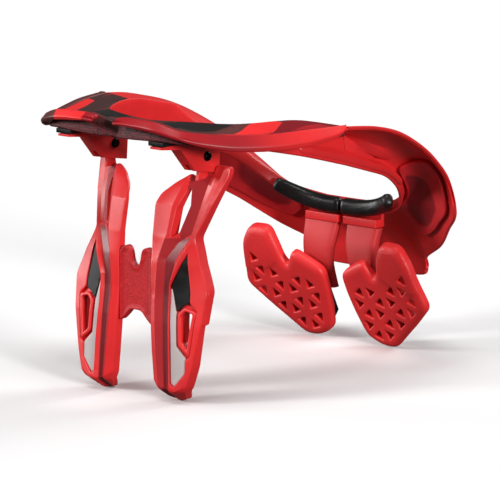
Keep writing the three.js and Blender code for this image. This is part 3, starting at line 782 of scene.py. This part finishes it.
def filled(loops, pitch, lines=()):
    """Triangles over the area between the first loop and the others, with points every pitch; no
    triangle crosses one of the lines. A triangle is kept if it lies in the first loop's area alone."""
    low, high = loops[0].min(0), loops[0].max(0)
    xs = np.arange(low[0], high[0], pitch)
    ys = np.arange(low[1], high[1], pitch * 0.87)
    net = np.stack(np.meshgrid(xs, ys), -1)
    net[1::2, :, 0] += pitch / 2
    net = net.reshape(-1, 2)
    room = 0.45 * min(pitch, 1.2)

    def clear(points, distance):
        keep = inside(points, loops[0])
        for n, loop in enumerate(loops):
            keep &= distance_to(points, loop) > distance
            if n:
                keep &= ~inside(points, loop)
        return keep

    rim = np.concatenate(loops)
    starts = np.cumsum([0] + [len(loop) for loop in loops])
    edges = []
    for first, loop in zip(starts, loops):
        count = len(loop)
        edges += [(first + i, first + (i + 1) % count) for i in range(count)]
    chains, count = [rim], len(rim)
    for line in lines:
        where = np.flatnonzero(clear(line, 0.6 * room))
        edges += [(count + i, count + i + 1) for i in np.flatnonzero(np.diff(where) == 1).tolist()]
        chains.append(line[where])
        count += len(where)
    if len(lines):
        drawn = np.concatenate(chains[1:])
        net = net[np.linalg.norm(net[:, None] - drawn, axis=-1).min(axis=1) > 0.6 * pitch]
    net = net[clear(net, room)]
    coords = [Vector(p) for p in np.concatenate(chains + [net]).tolist()]
    areas = [list(range(first, first + len(loop))) for first, loop in zip(starts, loops)]
    areas[1:] = [area[::-1] for area in areas[1:]]
    made = delaunay_2d_cdt(coords, edges, areas, 1, 1e-7, True)
    points = np.array([tuple(v) for v in made[0]])
    faces = [face for face, owners in zip(made[2], made[5]) if list(owners) == [0]]
    return points, np.array(faces)


def plate(outline, holes, depth, edge, back_edge, place, pitch=2.0, hole_edge=None, lines=(),
          start=0.0, rim_step=1.6):
    """A closed plate. Round every loop its rim is a quarter circle, a straight wall and a quarter
    circle, made by moving the loop into the material; both faces are filled. place takes across, up
    and depth arrays to points in space. Returns points, faces and each point's across, up, depth."""
    loops = [densified(turned(np.asarray(outline, float), 1), rim_step)]
    loops += [densified(turned(np.asarray(hole, float), -1), rim_step) for hole in holes]
    angle = np.linspace(0, np.pi / 2, 4)
    drawn, faces, count = [], [], 0
    fronts, backs = [], []
    for n, loop in enumerate(loops):
        front = hole_edge if n and hole_edge is not None else edge
        levels = [(front * (1 - np.sin(a)), front * (1 - np.cos(a))) for a in angle]
        levels += [(back_edge * (1 - np.cos(a)), depth - back_edge * (1 - np.sin(a))) for a in angle]
        rings = [np.column_stack([moved_in(loop, i), np.full(len(loop), d)]) for i, d in levels]
        drawn += rings
        faces += grid_faces(len(rings), len(loop), count).tolist()
        count += len(rings) * len(loop)
        fronts.append(rings[0][:, :2])
        backs.append(rings[-1][:, :2])
    for rims, level in ((fronts, 0.0), (backs, depth)):
        points, triangles = filled(rims, pitch, lines)
        drawn.append(np.column_stack([points, np.full(len(points), level)]))
        faces += (triangles + count).tolist()
        count += len(points)
    flat = np.concatenate(drawn)
    across, up, deep = flat.T
    return place(across, up, deep + start), faces, flat


# Collar deck and bumpers

def collar_corners(rows):
    """Bumper foot, bumper top, neck lip and neck wall foot of each row."""
    return [rows[:, i:i + 3] for i in (0, 3, 6, 9)]


def dented(points):
    """Shallow folded facets in each half of the chest table. Inside a triangle the surface sinks by
    depth times three times the smallest of its corner shares, which creases it like folded card."""
    x, y = np.abs(points[..., 0]), points[..., 1]
    for a, b, c, depth in DECK_FACETS:
        base = np.array([[a[0], b[0], c[0]], [a[1], b[1], c[1]], [1, 1, 1]], float)
        spot = np.stack([x, y, np.ones_like(x)], -1)
        shares = spot @ np.linalg.inv(base).T
        points[..., 2] -= depth * 3 * np.clip(shares.min(axis=-1), 0, None)
    return points


def deck_grid():
    """Deck from the chin under the front edge over the top to the neck wall, and the tone of each
    point: minus one on the chin, zero on the top and one from the neck lip on."""
    rows = smooth_rows(COLLAR_ROWS, COLLAR_STEPS)
    _, top, lip, wall = collar_corners(rows)
    inward = unit((lip - top) * (1, 1, 0))
    edge = top + inward * (BUMPER_THICK + DECK_REVEAL) - (0, 0, DECK_SILL)
    valley = edge + (lip - edge) * VALLEY_AT - (0, 0, VALLEY_DEEP)
    rise = edge + (lip - edge) * RISE_AT - (0, 0, VALLEY_DEEP * RISE_SHARE)
    skirt = edge - inward * 0.2 - (0, 0, SKIRT_DEEP)
    chin = skirt - inward * np.interp(rows[:, :1], [64, 89], [2.0, 0.2])
    chin[:, 2] = np.minimum(skirt[:, 2] - 0.3, np.interp(rows[:, 0], CHIN_AT, CHIN_Z))
    corners = np.stack([chin, skirt, edge, valley, rise, lip, wall], axis=1)
    steps, shares = 7, [0.12, 0.12, 0.3, 0.42, 0.3]
    profile = filleted(corners, shares, steps)
    place = corner_numbers(shares, steps)
    share = np.linspace(0, 1, 5)[:-1]
    between = profile[:, :-1, None] + (profile[:, 1:, None] - profile[:, :-1, None]) * share[:, None]
    fine = np.concatenate([between.reshape(len(rows), -1, 3), profile[:, -1:]], axis=1)
    place = np.append((place[:-1, None] + np.diff(place)[:, None] * share).ravel(), place[-1])
    tone = np.where(place < 1.0, -1.0, np.where(place > 4.8, 1.0, 0.0))
    return dented(mirrored_rows(fine)), tone


def make_deck():
    """The deck as a wall of even thickness under its folded top."""
    grid, tone = deck_grid()
    loops = wall_loops(grid, DECK_THICK)
    all_tones = np.ones(loops.shape[:2])
    all_tones[:, :len(tone)] = tone
    all_tones[:, -EDGE_ARC:] = -1.0
    points, faces = loops.reshape(-1, 3), loop_faces(*loops.shape[:2])
    add_piece("collar_deck", points, faces, deck_print, BASE, "deck_graphic", ["front_collar"],
              sharp=24.0, tone=all_tones)


def make_bumpers():
    """Outer band: a face that bellies out to a crisp lower line, and a narrow netted face under it.
    At its rear end the foot rises to the top on a quarter circle."""
    rows = smooth_rows(COLLAR_ROWS, COLLAR_STEPS)[COLLAR_STEPS:]
    foot, top, lip, _ = collar_corners(rows)
    foot = foot.copy()
    foot[:, 2] += np.interp(rows[:, 0], FOOT_AT, FOOT_RAISE)
    closing = np.clip((foot[:, 1:2] - CLOSE_FROM_Y) / CLOSE_RUN, 0, 1)
    foot += (top - foot) * CLOSE_SHARE * (1 - np.sqrt(1 - closing**2))
    outward = unit((top - lip) * (1, 1, 0))
    heel = foot - outward * BUMPER_HEEL
    belly = foot + (top - foot) * BELLY_AT + outward * BELLY_OUT
    crest = top + outward * 0.2
    inner = top - outward * BUMPER_LIP - (0, 0, 0.4)
    corners = np.stack([heel, foot, belly, crest, inner], axis=1)
    face = filleted(corners, [0.3, 0.22, 0.12], 6)
    loops = round_ends(wall_loops(face, BUMPER_THICK - 0.9), 1.6)
    points = loops.reshape(-1, 3)
    under = np.zeros(loops.shape[:2])
    under[:, :2] = 1.0
    under[:, -EDGE_ARC:] = 1.0
    add_pair("edge_bumper", points, loop_faces(*loops.shape[:2]), bumper_red, BASE, "red_bumper",
             node="collar_bumper", tone=under)


# Rear shell with its liners and side tongues

def shell_face(rows):
    """Face of the shell as cross-sections from the neck wall over the crown to the rim lip, and the
    corner number that each column stands for."""
    wall, edge, rim = (rows[:, i:i + 3] for i in (0, 3, 6))
    lean = np.radians(rows[:, 10])
    outward = np.stack([0 * lean, np.sin(lean), np.cos(lean)], -1)
    arches = [edge + (rim - edge) * t + outward * rows[:, 9:10] * ARCH_SHARE for t in ARCH_AT]
    lip = rim - np.stack([0 * lean, 0 * lean, rows[:, 11] * LIP_SHARE], -1)
    lip = lip + np.cross(outward, (1, 0, 0)) * LIP_OUT
    corners = np.stack([wall, edge, *arches, rim, lip], axis=1)
    steps, shares = 7, [0.25, 0.42, 0.42, 0.2]
    return filleted(corners, shares, steps), corner_numbers(shares, steps)


def rib_height(station, corner):
    """Lens-shaped rib on the hollow side of the neck wall: between the two edges of the lens its
    height is a power of a parabola, and it fades out at both ends."""
    low = np.interp(station, [-0.5, 1.2, 2.7], [0.42, 0.66, 1.5])
    high = np.interp(station, [-0.5, 0.8, 1.5, 2.7], [1.2, 1.62, 1.72, 1.55])
    across = (corner - (low + high) / 2) / np.maximum((high - low) / 2, 1e-3)
    height = RIB_TALL * np.clip(1 - across**2, 0, None) ** 0.7
    return height * np.clip((2.5 - station) / 0.9, 0, 1) * np.clip(station / 0.6, 0, 1)


def make_shell():
    """The back shell as a wall that is thicker at its ribs."""
    face, column = shell_face(smooth_rows(SHELL_ROWS, SHELL_STEPS))
    station = np.arange(len(face)) / SHELL_STEPS
    thick = SHELL_THICK - 0.2 + rib_height(station[:, None], column[None, :])
    full_thick = np.concatenate([thick, thick[-2::-1]])[..., None]
    loops = wall_loops(mirrored_rows(face[::-1]), full_thick)
    points = loops.reshape(-1, 3)
    add_piece("rear_canopy", points, loop_faces(*loops.shape[:2]), shell_red, BASE, "red_shell",
              ["rear_shell"])


def under_shell(rows):
    """Lookup of the inner side of the shell: place takes station times ten, corner number times ten
    and a distance off the surface, and gives points in space."""
    face, column = shell_face(smooth_rows(rows, SHELL_STEPS))
    normal = normals_of(face[:, ::-1])[:, ::-1]
    inner = face - normal * SHELL_THICK

    def pick(grid, row, col):
        r = np.clip(row, 0, len(grid) - 1.001)
        c = np.clip(np.interp(col, column, np.arange(len(column))), 0, len(column) - 1.001)
        r0, c0 = r.astype(int), c.astype(int)
        fr, fc = (r - r0)[:, None], (c - c0)[:, None]
        near = grid[r0, c0] * (1 - fc) + grid[r0, c0 + 1] * fc
        far = grid[r0 + 1, c0] * (1 - fc) + grid[r0 + 1, c0 + 1] * fc
        return near * (1 - fr) + far * fr

    def place(u, v, off):
        row, col = u / 10 * SHELL_STEPS, v / 10
        return pick(inner, row, col) - pick(normal, row, col) * off[:, None]

    return place


def make_liners(place):
    """Panel in the hollow of the shell: a raised frame round a blank field that is sunk and darker,
    its corners rounded."""
    outline = rounded(LINER_OUTLINE, 1.6, 4)
    field = rounded(FIELD_OUTLINE, 1.2, 4)

    def shaped(u, v, deep):
        spot = np.stack([u, v], -1)
        depth = distance_to(spot, field) * np.where(inside(spot, field), 1.0, 0.0)
        sink = FIELD_SUNK * np.clip(depth / FIELD_SUNK, 0, 1) * np.clip(1 - deep / LINER_THICK, 0, 1)
        return place(u, v, LINER_GAP + LINER_THICK - deep - sink)

    points, faces, flat = plate(outline, [], LINER_THICK, 0.4, 0.2, shaped, pitch=1.2, rim_step=1.2)
    spot = flat[:, :2]
    tone = np.where(inside(spot, field), np.clip(distance_to(spot, field) / 0.8, 0, 1), 0)
    add_pair("label_liner", points, faces, liner_red, BASE, "dark_red_liner", node="liner",
             tone=tone * (flat[:, 2] < 0.5 * LINER_THICK))


def make_tongues(place):
    """Smooth tongue on the outside of the neck wall, across its joint, rounded at its rear end."""
    outline = rounded(TONGUE_OUTLINE, 2.2, 6)

    def shaped(u, v, deep):
        spot = np.stack([u, v], -1)
        crown = 1.0 - 0.9 * np.clip(1 - distance_to(spot, outline) / 3.0, 0, 1) ** 2
        return place(u, v, TONGUE_GAP + (TONGUE_THICK - deep) * crown)

    points, faces, _ = plate(outline, [], TONGUE_THICK, 0.5, 0.2, shaped, pitch=1.2)
    add_pair("neck_tongue", points, faces, shell_red, BASE, "red_shell", node="side_tongue")


# Shoulder-blade pads, their arms and backings

def on_pad(across, up, back):
    """Leaning frame of the pads: up runs along the face, back leaves it square, and the top bends
    away on a parabola."""
    length = np.hypot(1, PAD_LEAN)
    z = up / length
    bend = np.maximum(0, z - PAD_BEND_FROM) ** 2 / (2 * PAD_BEND_RADIUS)
    y = PAD_FACE_Y + PAD_YAW * across + PAD_LEAN * z + bend
    return np.stack([across + back * PAD_YAW, y + back / length, z - back * PAD_LEAN / length], -1)


def pad_hole(column, row, turn):
    """One pierced triangle of the lattice, its point turned to the middle of its hexagon."""

    def arm(degrees, reach):
        angle = np.radians(degrees)
        return np.array([reach * np.cos(angle), reach * np.sin(angle)])

    heading = LATTICE_TURN - 30 + 60 * turn
    middle = LATTICE_CENTRE + column * arm(LATTICE_TURN, LATTICE_SIDE)
    middle = middle + row * arm(LATTICE_TURN + 60, LATTICE_SIDE) + arm(heading, LATTICE_SIDE / 3**0.5)
    corners = [middle + arm(heading + 180 + step, HOLE_SIDE / 3**0.5) for step in (0, 120, 240)]
    return rounded(corners, 1.0, 3)


def make_pads():
    """Pierced pad: the face falls back towards its rim, and its outer upper lobe is raised."""
    outline = rounded(PAD_OUTLINE, 6.0, 6)
    holes = [pad_hole(*row) for row in PAD_HOLES]
    lobe = rounded(LOBE_OUTLINE, 6.0, 6)

    def shaped(across, up, deep):
        spot = np.stack([across, up], -1)
        rim = np.clip(1 - distance_to(spot, outline) / PAD_RIM_WIDE, 0, 1)
        front = np.clip(1 - deep / PAD_THICK, 0, 1)
        raised = np.clip(distance_to(spot, lobe) / LOBE_BEVEL, 0, 1) * inside(spot, lobe)
        return on_pad(across, up, deep + front * (PAD_RIM_DEEP * rim - LOBE_PROUD * raised))

    points, faces, flat = plate(outline, holes, PAD_THICK, 2.2, 0.8, shaped, pitch=1.7, hole_edge=1.15)
    spot = flat[:, :2]
    tone = np.clip(distance_to(spot, lobe) / 2.0, 0, 1) * inside(spot, lobe)
    for pad in add_pair("shoulder_blade_pad", points, faces, pad_red, BASE, "red_shell",
                        node="scapula_pad", tone=tone * (flat[:, 2] < 2.0)):
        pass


def make_arms():
    """Flat flexible arm: its front runs down the rows, its two sides are half round."""
    rows = smooth_rows(ARM_ROWS, 6)
    share = np.linspace(0, 1, 9)[None, :]
    x = rows[:, 2:3] + (rows[:, 3:4] - rows[:, 2:3]) * share
    y = rows[:, 1:2] - 0.6 * share + 0.5 * (2 * share - 1) ** 4
    front = np.stack([x, y, rows[:, 0:1] + 0 * share], -1)
    back = front + (0, ARM_DEEP, 0)
    left = half_round(front[:, -1], back[:, -1], np.array([[1.0, 0, 0]]), 5)
    right = half_round(back[:, 0], front[:, 0], np.array([[-1.0, 0, 0]]), 5)
    squeeze = (ARM_EDGE, 1, 1)
    left = (left - front[:, -1:]) * squeeze + front[:, -1:]
    right = (right - front[:, :1]) * squeeze + front[:, :1]
    loops = np.concatenate([front, left, back[:, ::-1], right], axis=1)
    add_pair("pad_arm", loops.reshape(-1, 3), loop_faces(*loops.shape[:2]), arm_red, BASE,
             "matte_red_arm", node="wing_arm")


# Chest struts

def strut_creases(across, up):
    """Set back of the folded front: straight between creases whose places are read at each height."""
    spots = np.stack([np.interp(up, STRUT_CREASES[:, 0], line) for line in STRUT_CREASES[:, 1:].T], -1)
    share = np.clip((up - CREASE_BEND[0]) / (CREASE_BEND[1] - CREASE_BEND[0]), 0, 1)[:, None]
    backs = CREASE_BACK_LOW + (CREASE_BACK_HIGH - CREASE_BACK_LOW) * share
    backs[:, :2] += np.maximum(up - SHOULDER_Z, 0)[:, None] * SHOULDER_LEAN
    result = backs[:, 0] + TIP_LEAN * np.maximum(np.interp(across, *TIP_LINE.T) - up, 0)
    for k in range(spots.shape[1] - 1):
        run = np.maximum(spots[:, k + 1] - spots[:, k], 1e-6)
        t = np.clip((across - spots[:, k]) / run, 0, 1)
        result += (backs[:, k + 1] - backs[:, k]) * t
    return result


def plain_front(across, up):
    """Y of the strut's front without its creases: a middle line and a slope across, read at each
    height."""
    middle, slope = (np.interp(up, STRUT_FACE[:, 0], line) for line in STRUT_FACE[:, 1:3].T)
    return middle + slope * (across - STRUT_MIDDLE)


def on_strut(across, up, deep):
    """Strut frame: across and up stay X and Z, and depth runs back from the folded front; deeper
    than the skin it is squeezed so that the back stays a plain face at the strut's own depth."""
    folds = strut_creases(across, up)
    own = np.interp(up, STRUT_FACE[:, 0], STRUT_FACE[:, 3]) - folds
    own = np.maximum(own, STRUT_SKIN + BACK_LEAST)
    squeezed = STRUT_SKIN + (deep - STRUT_SKIN) * (own - STRUT_SKIN) / (STRUT_DEPTH - STRUT_SKIN)
    y = plain_front(across, up) + folds + np.where(deep > STRUT_SKIN, squeezed, deep)
    return np.stack([across, y, up], -1)


def crease_lines():
    """Points along the creases and across the shoulder, so that the triangles fold on them."""
    heights = np.arange(STRUT_CREASES[0, 0], STRUT_CREASES[-1, 0], 1.0)
    lines = [np.column_stack([np.interp(heights, STRUT_CREASES[:, 0], line), heights])
             for line in STRUT_CREASES[:, 2:-1].T]
    level = [np.interp(SHOULDER_Z, STRUT_CREASES[:, 0], line) for line in STRUT_CREASES[:, 1:3].T]
    across = np.arange(level[0], level[1] - 0.5, 1.0)
    tip = np.arange(TIP_LINE[0, 0], TIP_LINE[-1, 0], 1.0)
    return lines + [np.column_stack([across, np.full(len(across), SHOULDER_Z)]),
                    np.column_stack([tip, np.interp(tip, *TIP_LINE.T)])]


def on_inlay(across, up, deep):
    """The inlays lie on the plain front without its creases, a little behind it."""
    return np.stack([across, plain_front(across, up) + deep + INLAY_GAP, up], -1)


def make_struts():
    """Each strut is a thin folded face over a deeper frame, with two inlays sunk in a pocket of the
    face and a rim round the slot that goes through both."""
    outline = rounded(STRUT_OUTLINE, 2.8, 5)
    window = rounded(STRUT_WINDOW, 1.0, 4)
    pocket = rounded(STRUT_POCKET, 0.8, 3)
    ring = rounded(SLOT_RING, 1.6, 4)
    slot = rounded(moved_in(turned(np.array(SLOT_RING, float), 1), RING_WALL), 1.3, 4)
    folds = crease_lines()
    points, faces, flat = plate(outline, [window, pocket], STRUT_SKIN, 0.55, 0.15, on_strut, pitch=1.6,
                                hole_edge=0.35, lines=folds)
    middle = np.array([flat[face].mean(axis=0) for face in faces])
    rail, groove, band = (np.interp(middle[:, 1], STRUT_CREASES[:, 0], line)
                          for line in STRUT_CREASES[:, 2:5].T)
    front = middle[:, 2] < 0.5 * STRUT_SKIN
    low = front & (middle[:, 1] < TONE_TOP)
    # Tone on the front: the band beyond the groove is the strut's own darker colour; the rail facet
    # next to it and the strip beside the window get painted shade
    tone = GROOVE_TONE * ((middle[:, 0] > groove) & (middle[:, 0] < band) & low)
    tone += RAIL_PAINTED_SHADE * ((middle[:, 0] > rail) & (middle[:, 0] < groove) & low)
    tone += WINDOW_PAINTED_SHADE * ((middle[:, 0] > WINDOW_SIDE) & (middle[:, 0] < groove) & front & ~low)
    near = np.linalg.norm(flat[:, None, :2] - np.concatenate(folds), axis=-1).min(axis=1)
    add_pair("strut_face", points, faces, strut_red, CHEST, "red_strut", node="strut", tone=tone,
             sharp=50.0, fold=(near < 1e-5) & (flat[:, 2] == 0))
    rim = moved_in(turned(outline, 1), 0.25)
    step = (rim[:, 0] > STEP_X) & (rim[:, 1] > STEP_Z[0]) & (rim[:, 1] < STEP_Z[1])
    rim[:, 0] -= STEP_IN * step
    wide_window = moved_in(turned(window, -1), 0.3)
    depth = STRUT_DEPTH - STRUT_SKIN - FACE_GAP
    points, faces, _ = plate(rim, [wide_window, slot], depth, 0.3, 1.0, on_strut, pitch=3.0,
                             hole_edge=0.3, start=STRUT_SKIN + FACE_GAP)
    add_pair("strut_frame", points, faces, strut_red, CHEST, "red_strut", tone=np.zeros(len(points)))
    for name, drawn, material, slot_name in (
            ("inlay_black", INLAY_BLACK, satin_black, "black_plastic"),
            ("inlay_white", INLAY_WHITE, inlay_pale, "grey_inlay")):
        points, faces, _ = plate(rounded(drawn, 0.8, 3), [], INLAY_DEEP, 0.2, 0.1, on_inlay, pitch=1.8,
                                 start=INLAY_SUNK)
        add_pair(name + "_panel", points, faces, material, CHEST, slot_name, node=name)
    points, faces, _ = plate(ring, [slot], RING_DEEP, 0.7, 0.2, on_inlay, pitch=1.6, hole_edge=0.6,
                             start=-RING_PROUD)
    add_pair("slot_rim", points, faces, strut_red, CHEST, "red_strut", node="slot_ring",
             tone=np.zeros(len(points)))


def make_bridge():
    """Grained plate between the struts, with a raised plain border."""
    outline = rounded(BRIDGE_OUTLINE, 3.0, 6)

    def shaped(across, up, deep):
        spot = np.stack([across, up], -1)
        sunk = BRIDGE_SUNK * np.clip((distance_to(spot, outline) - BRIDGE_BORDER) / 0.8, 0, 1)
        y = BRIDGE_FRONT + deep + sunk * (deep < 0.5 * BRIDGE_THICK)
        return np.stack([across, y, up], -1)

    points, faces, _ = plate(outline, [], BRIDGE_THICK, 0.4, 0.4, shaped, pitch=1.6)
    add_piece("strut_bridge", points, faces, bridge_grain, CHEST, "red_strut", ["bridge"])


# Small parts

def dressed(node, name, material, width):
    """A copy of a construction solid with its edges rounded by a bevel of the given width."""
    piece = bpy.data.objects.new(name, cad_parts[node].data.copy())
    bpy.context.collection.objects.link(piece)
    work = bmesh.new()
    work.from_mesh(piece.data)
    bmesh.ops.remove_doubles(work, verts=work.verts, dist=1e-5)
    bmesh.ops.dissolve_limit(work, angle_limit=np.radians(3), verts=work.verts, edges=work.edges)
    work.to_mesh(piece.data)
    work.free()
    piece.data.materials.clear()
    piece.data.materials.append(material)
    piece.data.shade_smooth()
    bevel = piece.modifiers.new("round", "BEVEL")
    bevel.width = width * MM
    bevel.segments = 3
    bevel.limit_method = "ANGLE"
    bevel.angle_limit = np.radians(28)
    bevel.harden_normals = True
    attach(piece, BASE)
    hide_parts(node)
    return piece


def make_small_parts():
    """Forks, ledges, rails and backings: their construction solids with rounded edges."""
    kinds = (
        ("hinge_bracket", "hinge_fork", shell_red, 0.7, "red_shell"),
        ("wing_bracket", "pad_ledge", shell_red, 0.8, "red_shell"),
        ("slide_plate", "slide_rail", satin_black, 0.5, "black_plastic"),
        ("pad_backing", "pad_back_plate", satin_black, 0.6, "black_plastic"),
    )
    for node, name, material, width, slot_name in kinds:
        for word, _ in SIDES:
            dressed(f"{node}_{word}", f"{name}_{word}", material, width)


def make_bolts():
    """Button-head bolt turned about the hinge line: each cross-section is a circle, and in the
    socket a hexagon, whose radius is the flat distance over the cosine of the angle to its flat."""
    turn = np.linspace(0, 2 * np.pi, 48, endpoint=False)
    flat = SOCKET_FLAT / np.cos((turn + np.pi / 6) % (np.pi / 3) - np.pi / 6)
    rings = []
    for x, radius, hexed in BOLT_STATIONS:
        reach = radius + flat * hexed
        rings.append(np.stack([HINGE_X + x + 0 * turn, HINGE[0] + reach * np.cos(turn),
                               HINGE[1] + reach * np.sin(turn)], -1))
    loops = np.stack(rings)
    add_pair("fork_bolt", loops.reshape(-1, 3), loop_faces(*loops.shape[:2]), steel_black, BASE,
             "black_steel", node="hinge_bolt", sharp=45.0)


def make_lugs():
    """Eye at the top of each strut: a round end on a short stem, in the fork."""
    angle = np.radians(np.linspace(-60, 240, 22))
    arc = [(HINGE[0] + EYE_RADIUS * np.cos(a), HINGE[1] + EYE_RADIUS * np.sin(a)) for a in angle]
    outline = arc + [(HINGE[0] - STEM_HALF, STEM_FOOT), (HINGE[0] + STEM_HALF, STEM_FOOT)]
    turn = np.linspace(0, 2 * np.pi, 25)[:-1]
    bore = [(HINGE[0] + EYE_BORE * np.cos(a), HINGE[1] + EYE_BORE * np.sin(a)) for a in turn]

    def upright(y, z, deep):
        return np.stack([HINGE_X + EYE_THICK / 2 - deep, y, z], -1)

    points, faces, _ = plate(outline, [bore], EYE_THICK, 0.4, 0.4, upright, pitch=2.5, hole_edge=0.2)
    add_pair("strut_eye", points, faces, strut_red, CHEST, "red_strut", tone=np.zeros(len(points)))


def relaxed(piece, pressure, limit, frames=14):
    """Swells a piece by a short cloth simulation without gravity; no point moves past the limit."""
    cloth = piece.modifiers.new("swell", "CLOTH")
    cloth.settings.use_pressure = True
    cloth.settings.uniform_pressure_force = pressure
    cloth.settings.effector_weights.gravity = 0.0
    cloth.settings.tension_stiffness = 12.0
    start = np.array([v.co for v in piece.data.vertices])
    scene = bpy.context.scene
    for number in range(1, frames + 1):
        scene.frame_set(number)
    swollen = piece.evaluated_get(bpy.context.evaluated_depsgraph_get())
    end = np.array([v.co for v in swollen.data.vertices])
    piece.modifiers.remove(cloth)
    move = end - start
    size = np.linalg.norm(move, axis=1, keepdims=True)
    end = start + move * np.minimum(1, limit / np.maximum(size, 1e-9))
    piece.data.vertices.foreach_set("co", end.ravel())
    piece.data.update()
    scene.frame_set(1)


def pad_loops():
    """Cross-sections of a neck pad along its path: a squared oval, half the width times the power of
    a cosine and half the height times the same power of a sine."""
    path = smooth_rows(NECK_PATH, 8)
    along = unit(np.gradient(path[:, :3], axis=0))
    level = unit(np.cross(along, (0, 0, 1)))[:, None]
    upright = np.cross(level, along[:, None])
    angle = np.linspace(0, 2 * np.pi, 32, endpoint=False)[None, :, None]
    wide, tall = np.cos(angle), np.sin(angle)
    wide, tall = (np.sign(value) * np.abs(value) ** NECK_POWER for value in (wide, tall))
    size = path[:, 3:, None]
    loops = path[:, None, :3] + size * (level * wide * NECK_WIDE / 2 + upright * tall * NECK_TALL / 2)
    return round_ends(loops, 3.2, 5)


def make_neck_pads():
    """Black foam pads: swept, remeshed, swollen by a short simulation and subdivided once."""
    loops = pad_loops()
    points, faces = loops.reshape(-1, 3), loop_faces(*loops.shape[:2])
    for piece in add_pair("neck_cushion", points, faces, foam_black, BASE, "black_foam",
                          node="neck_pad", sharp=80.0):
        remesh = piece.modifiers.new("remesh", "REMESH")
        remesh.mode = "VOXEL"
        remesh.voxel_size = 0.0014
        graph = bpy.context.evaluated_depsgraph_get()
        fine = bpy.data.meshes.new_from_object(piece.evaluated_get(graph))
        piece.modifiers.clear()
        piece.data = fine
        relaxed(piece, 4.0, 0.0009)
        piece.data.materials.clear()
        piece.data.materials.append(foam_black)
        piece.data.shade_smooth()
        soft = piece.modifiers.new("soft", "SUBSURF")
        soft.levels = soft.render_levels = 1


# Stage

def toward(turn, height):
    """Unit vector to a place turned from the front to the wearer's left, and raised, by degrees."""
    around, rise = np.radians(turn), np.radians(height)
    return Vector((np.sin(around) * np.cos(rise), -np.cos(around) * np.cos(rise), np.sin(rise)))


def make_stage():
    """A pale floor, a dim white world, five soft suns and the camera of the photo."""
    bpy.ops.mesh.primitive_plane_add(size=24.0, location=(0, 0, 0))
    floor = bpy.context.object
    floor.name = "studio_floor"
    floor.data.materials.append(studio_floor("studio_floor"))
    floor.visible_diffuse = False
    floor.visible_glossy = False
    world = bpy.data.worlds.new("studio")
    world.use_nodes = True
    world.node_tree.nodes["Background"].inputs[0].default_value = (1.0, 1.0, 1.0, 1.0)
    world.node_tree.nodes["Background"].inputs[1].default_value = WORLD_POWER
    scene = bpy.context.scene
    scene.world = world
    scene.view_settings.view_transform = "Standard"
    scene.view_settings.look = "None"
    for name, turn, height, power, spread in SUNS:
        data = bpy.data.lights.new(name, "SUN")
        data.energy = power
        data.angle = np.radians(spread)
        light = bpy.data.objects.new(name, data)
        bpy.context.collection.objects.link(light)
        light.rotation_euler = toward(turn, height).to_track_quat("Z", "Y").to_euler()
    data = bpy.data.cameras.new("view")
    data.lens = CAMERA_LENS
    data.sensor_width = SENSOR
    data.clip_end = 100.0
    camera = bpy.data.objects.new("view", data)
    bpy.context.collection.objects.link(camera)
    back = toward(CAMERA_TURN, CAMERA_HEIGHT)
    camera.location = Vector((0.0, CENTRE_SHIFT * MM, TARGET_Z)) + back * CAMERA_AWAY
    camera.rotation_euler = back.to_track_quat("Z", "Y").to_euler()
    scene.camera = camera


make_stage()
make_deck()
make_bumpers()
make_shell()
make_liners(under_shell(SHELL_ROWS))
make_tongues(under_shell(NECK_LEAD + SHELL_ROWS))
make_pads()
make_arms()
make_struts()
make_bridge()
make_small_parts()
make_bolts()
make_lugs()
make_neck_pads()
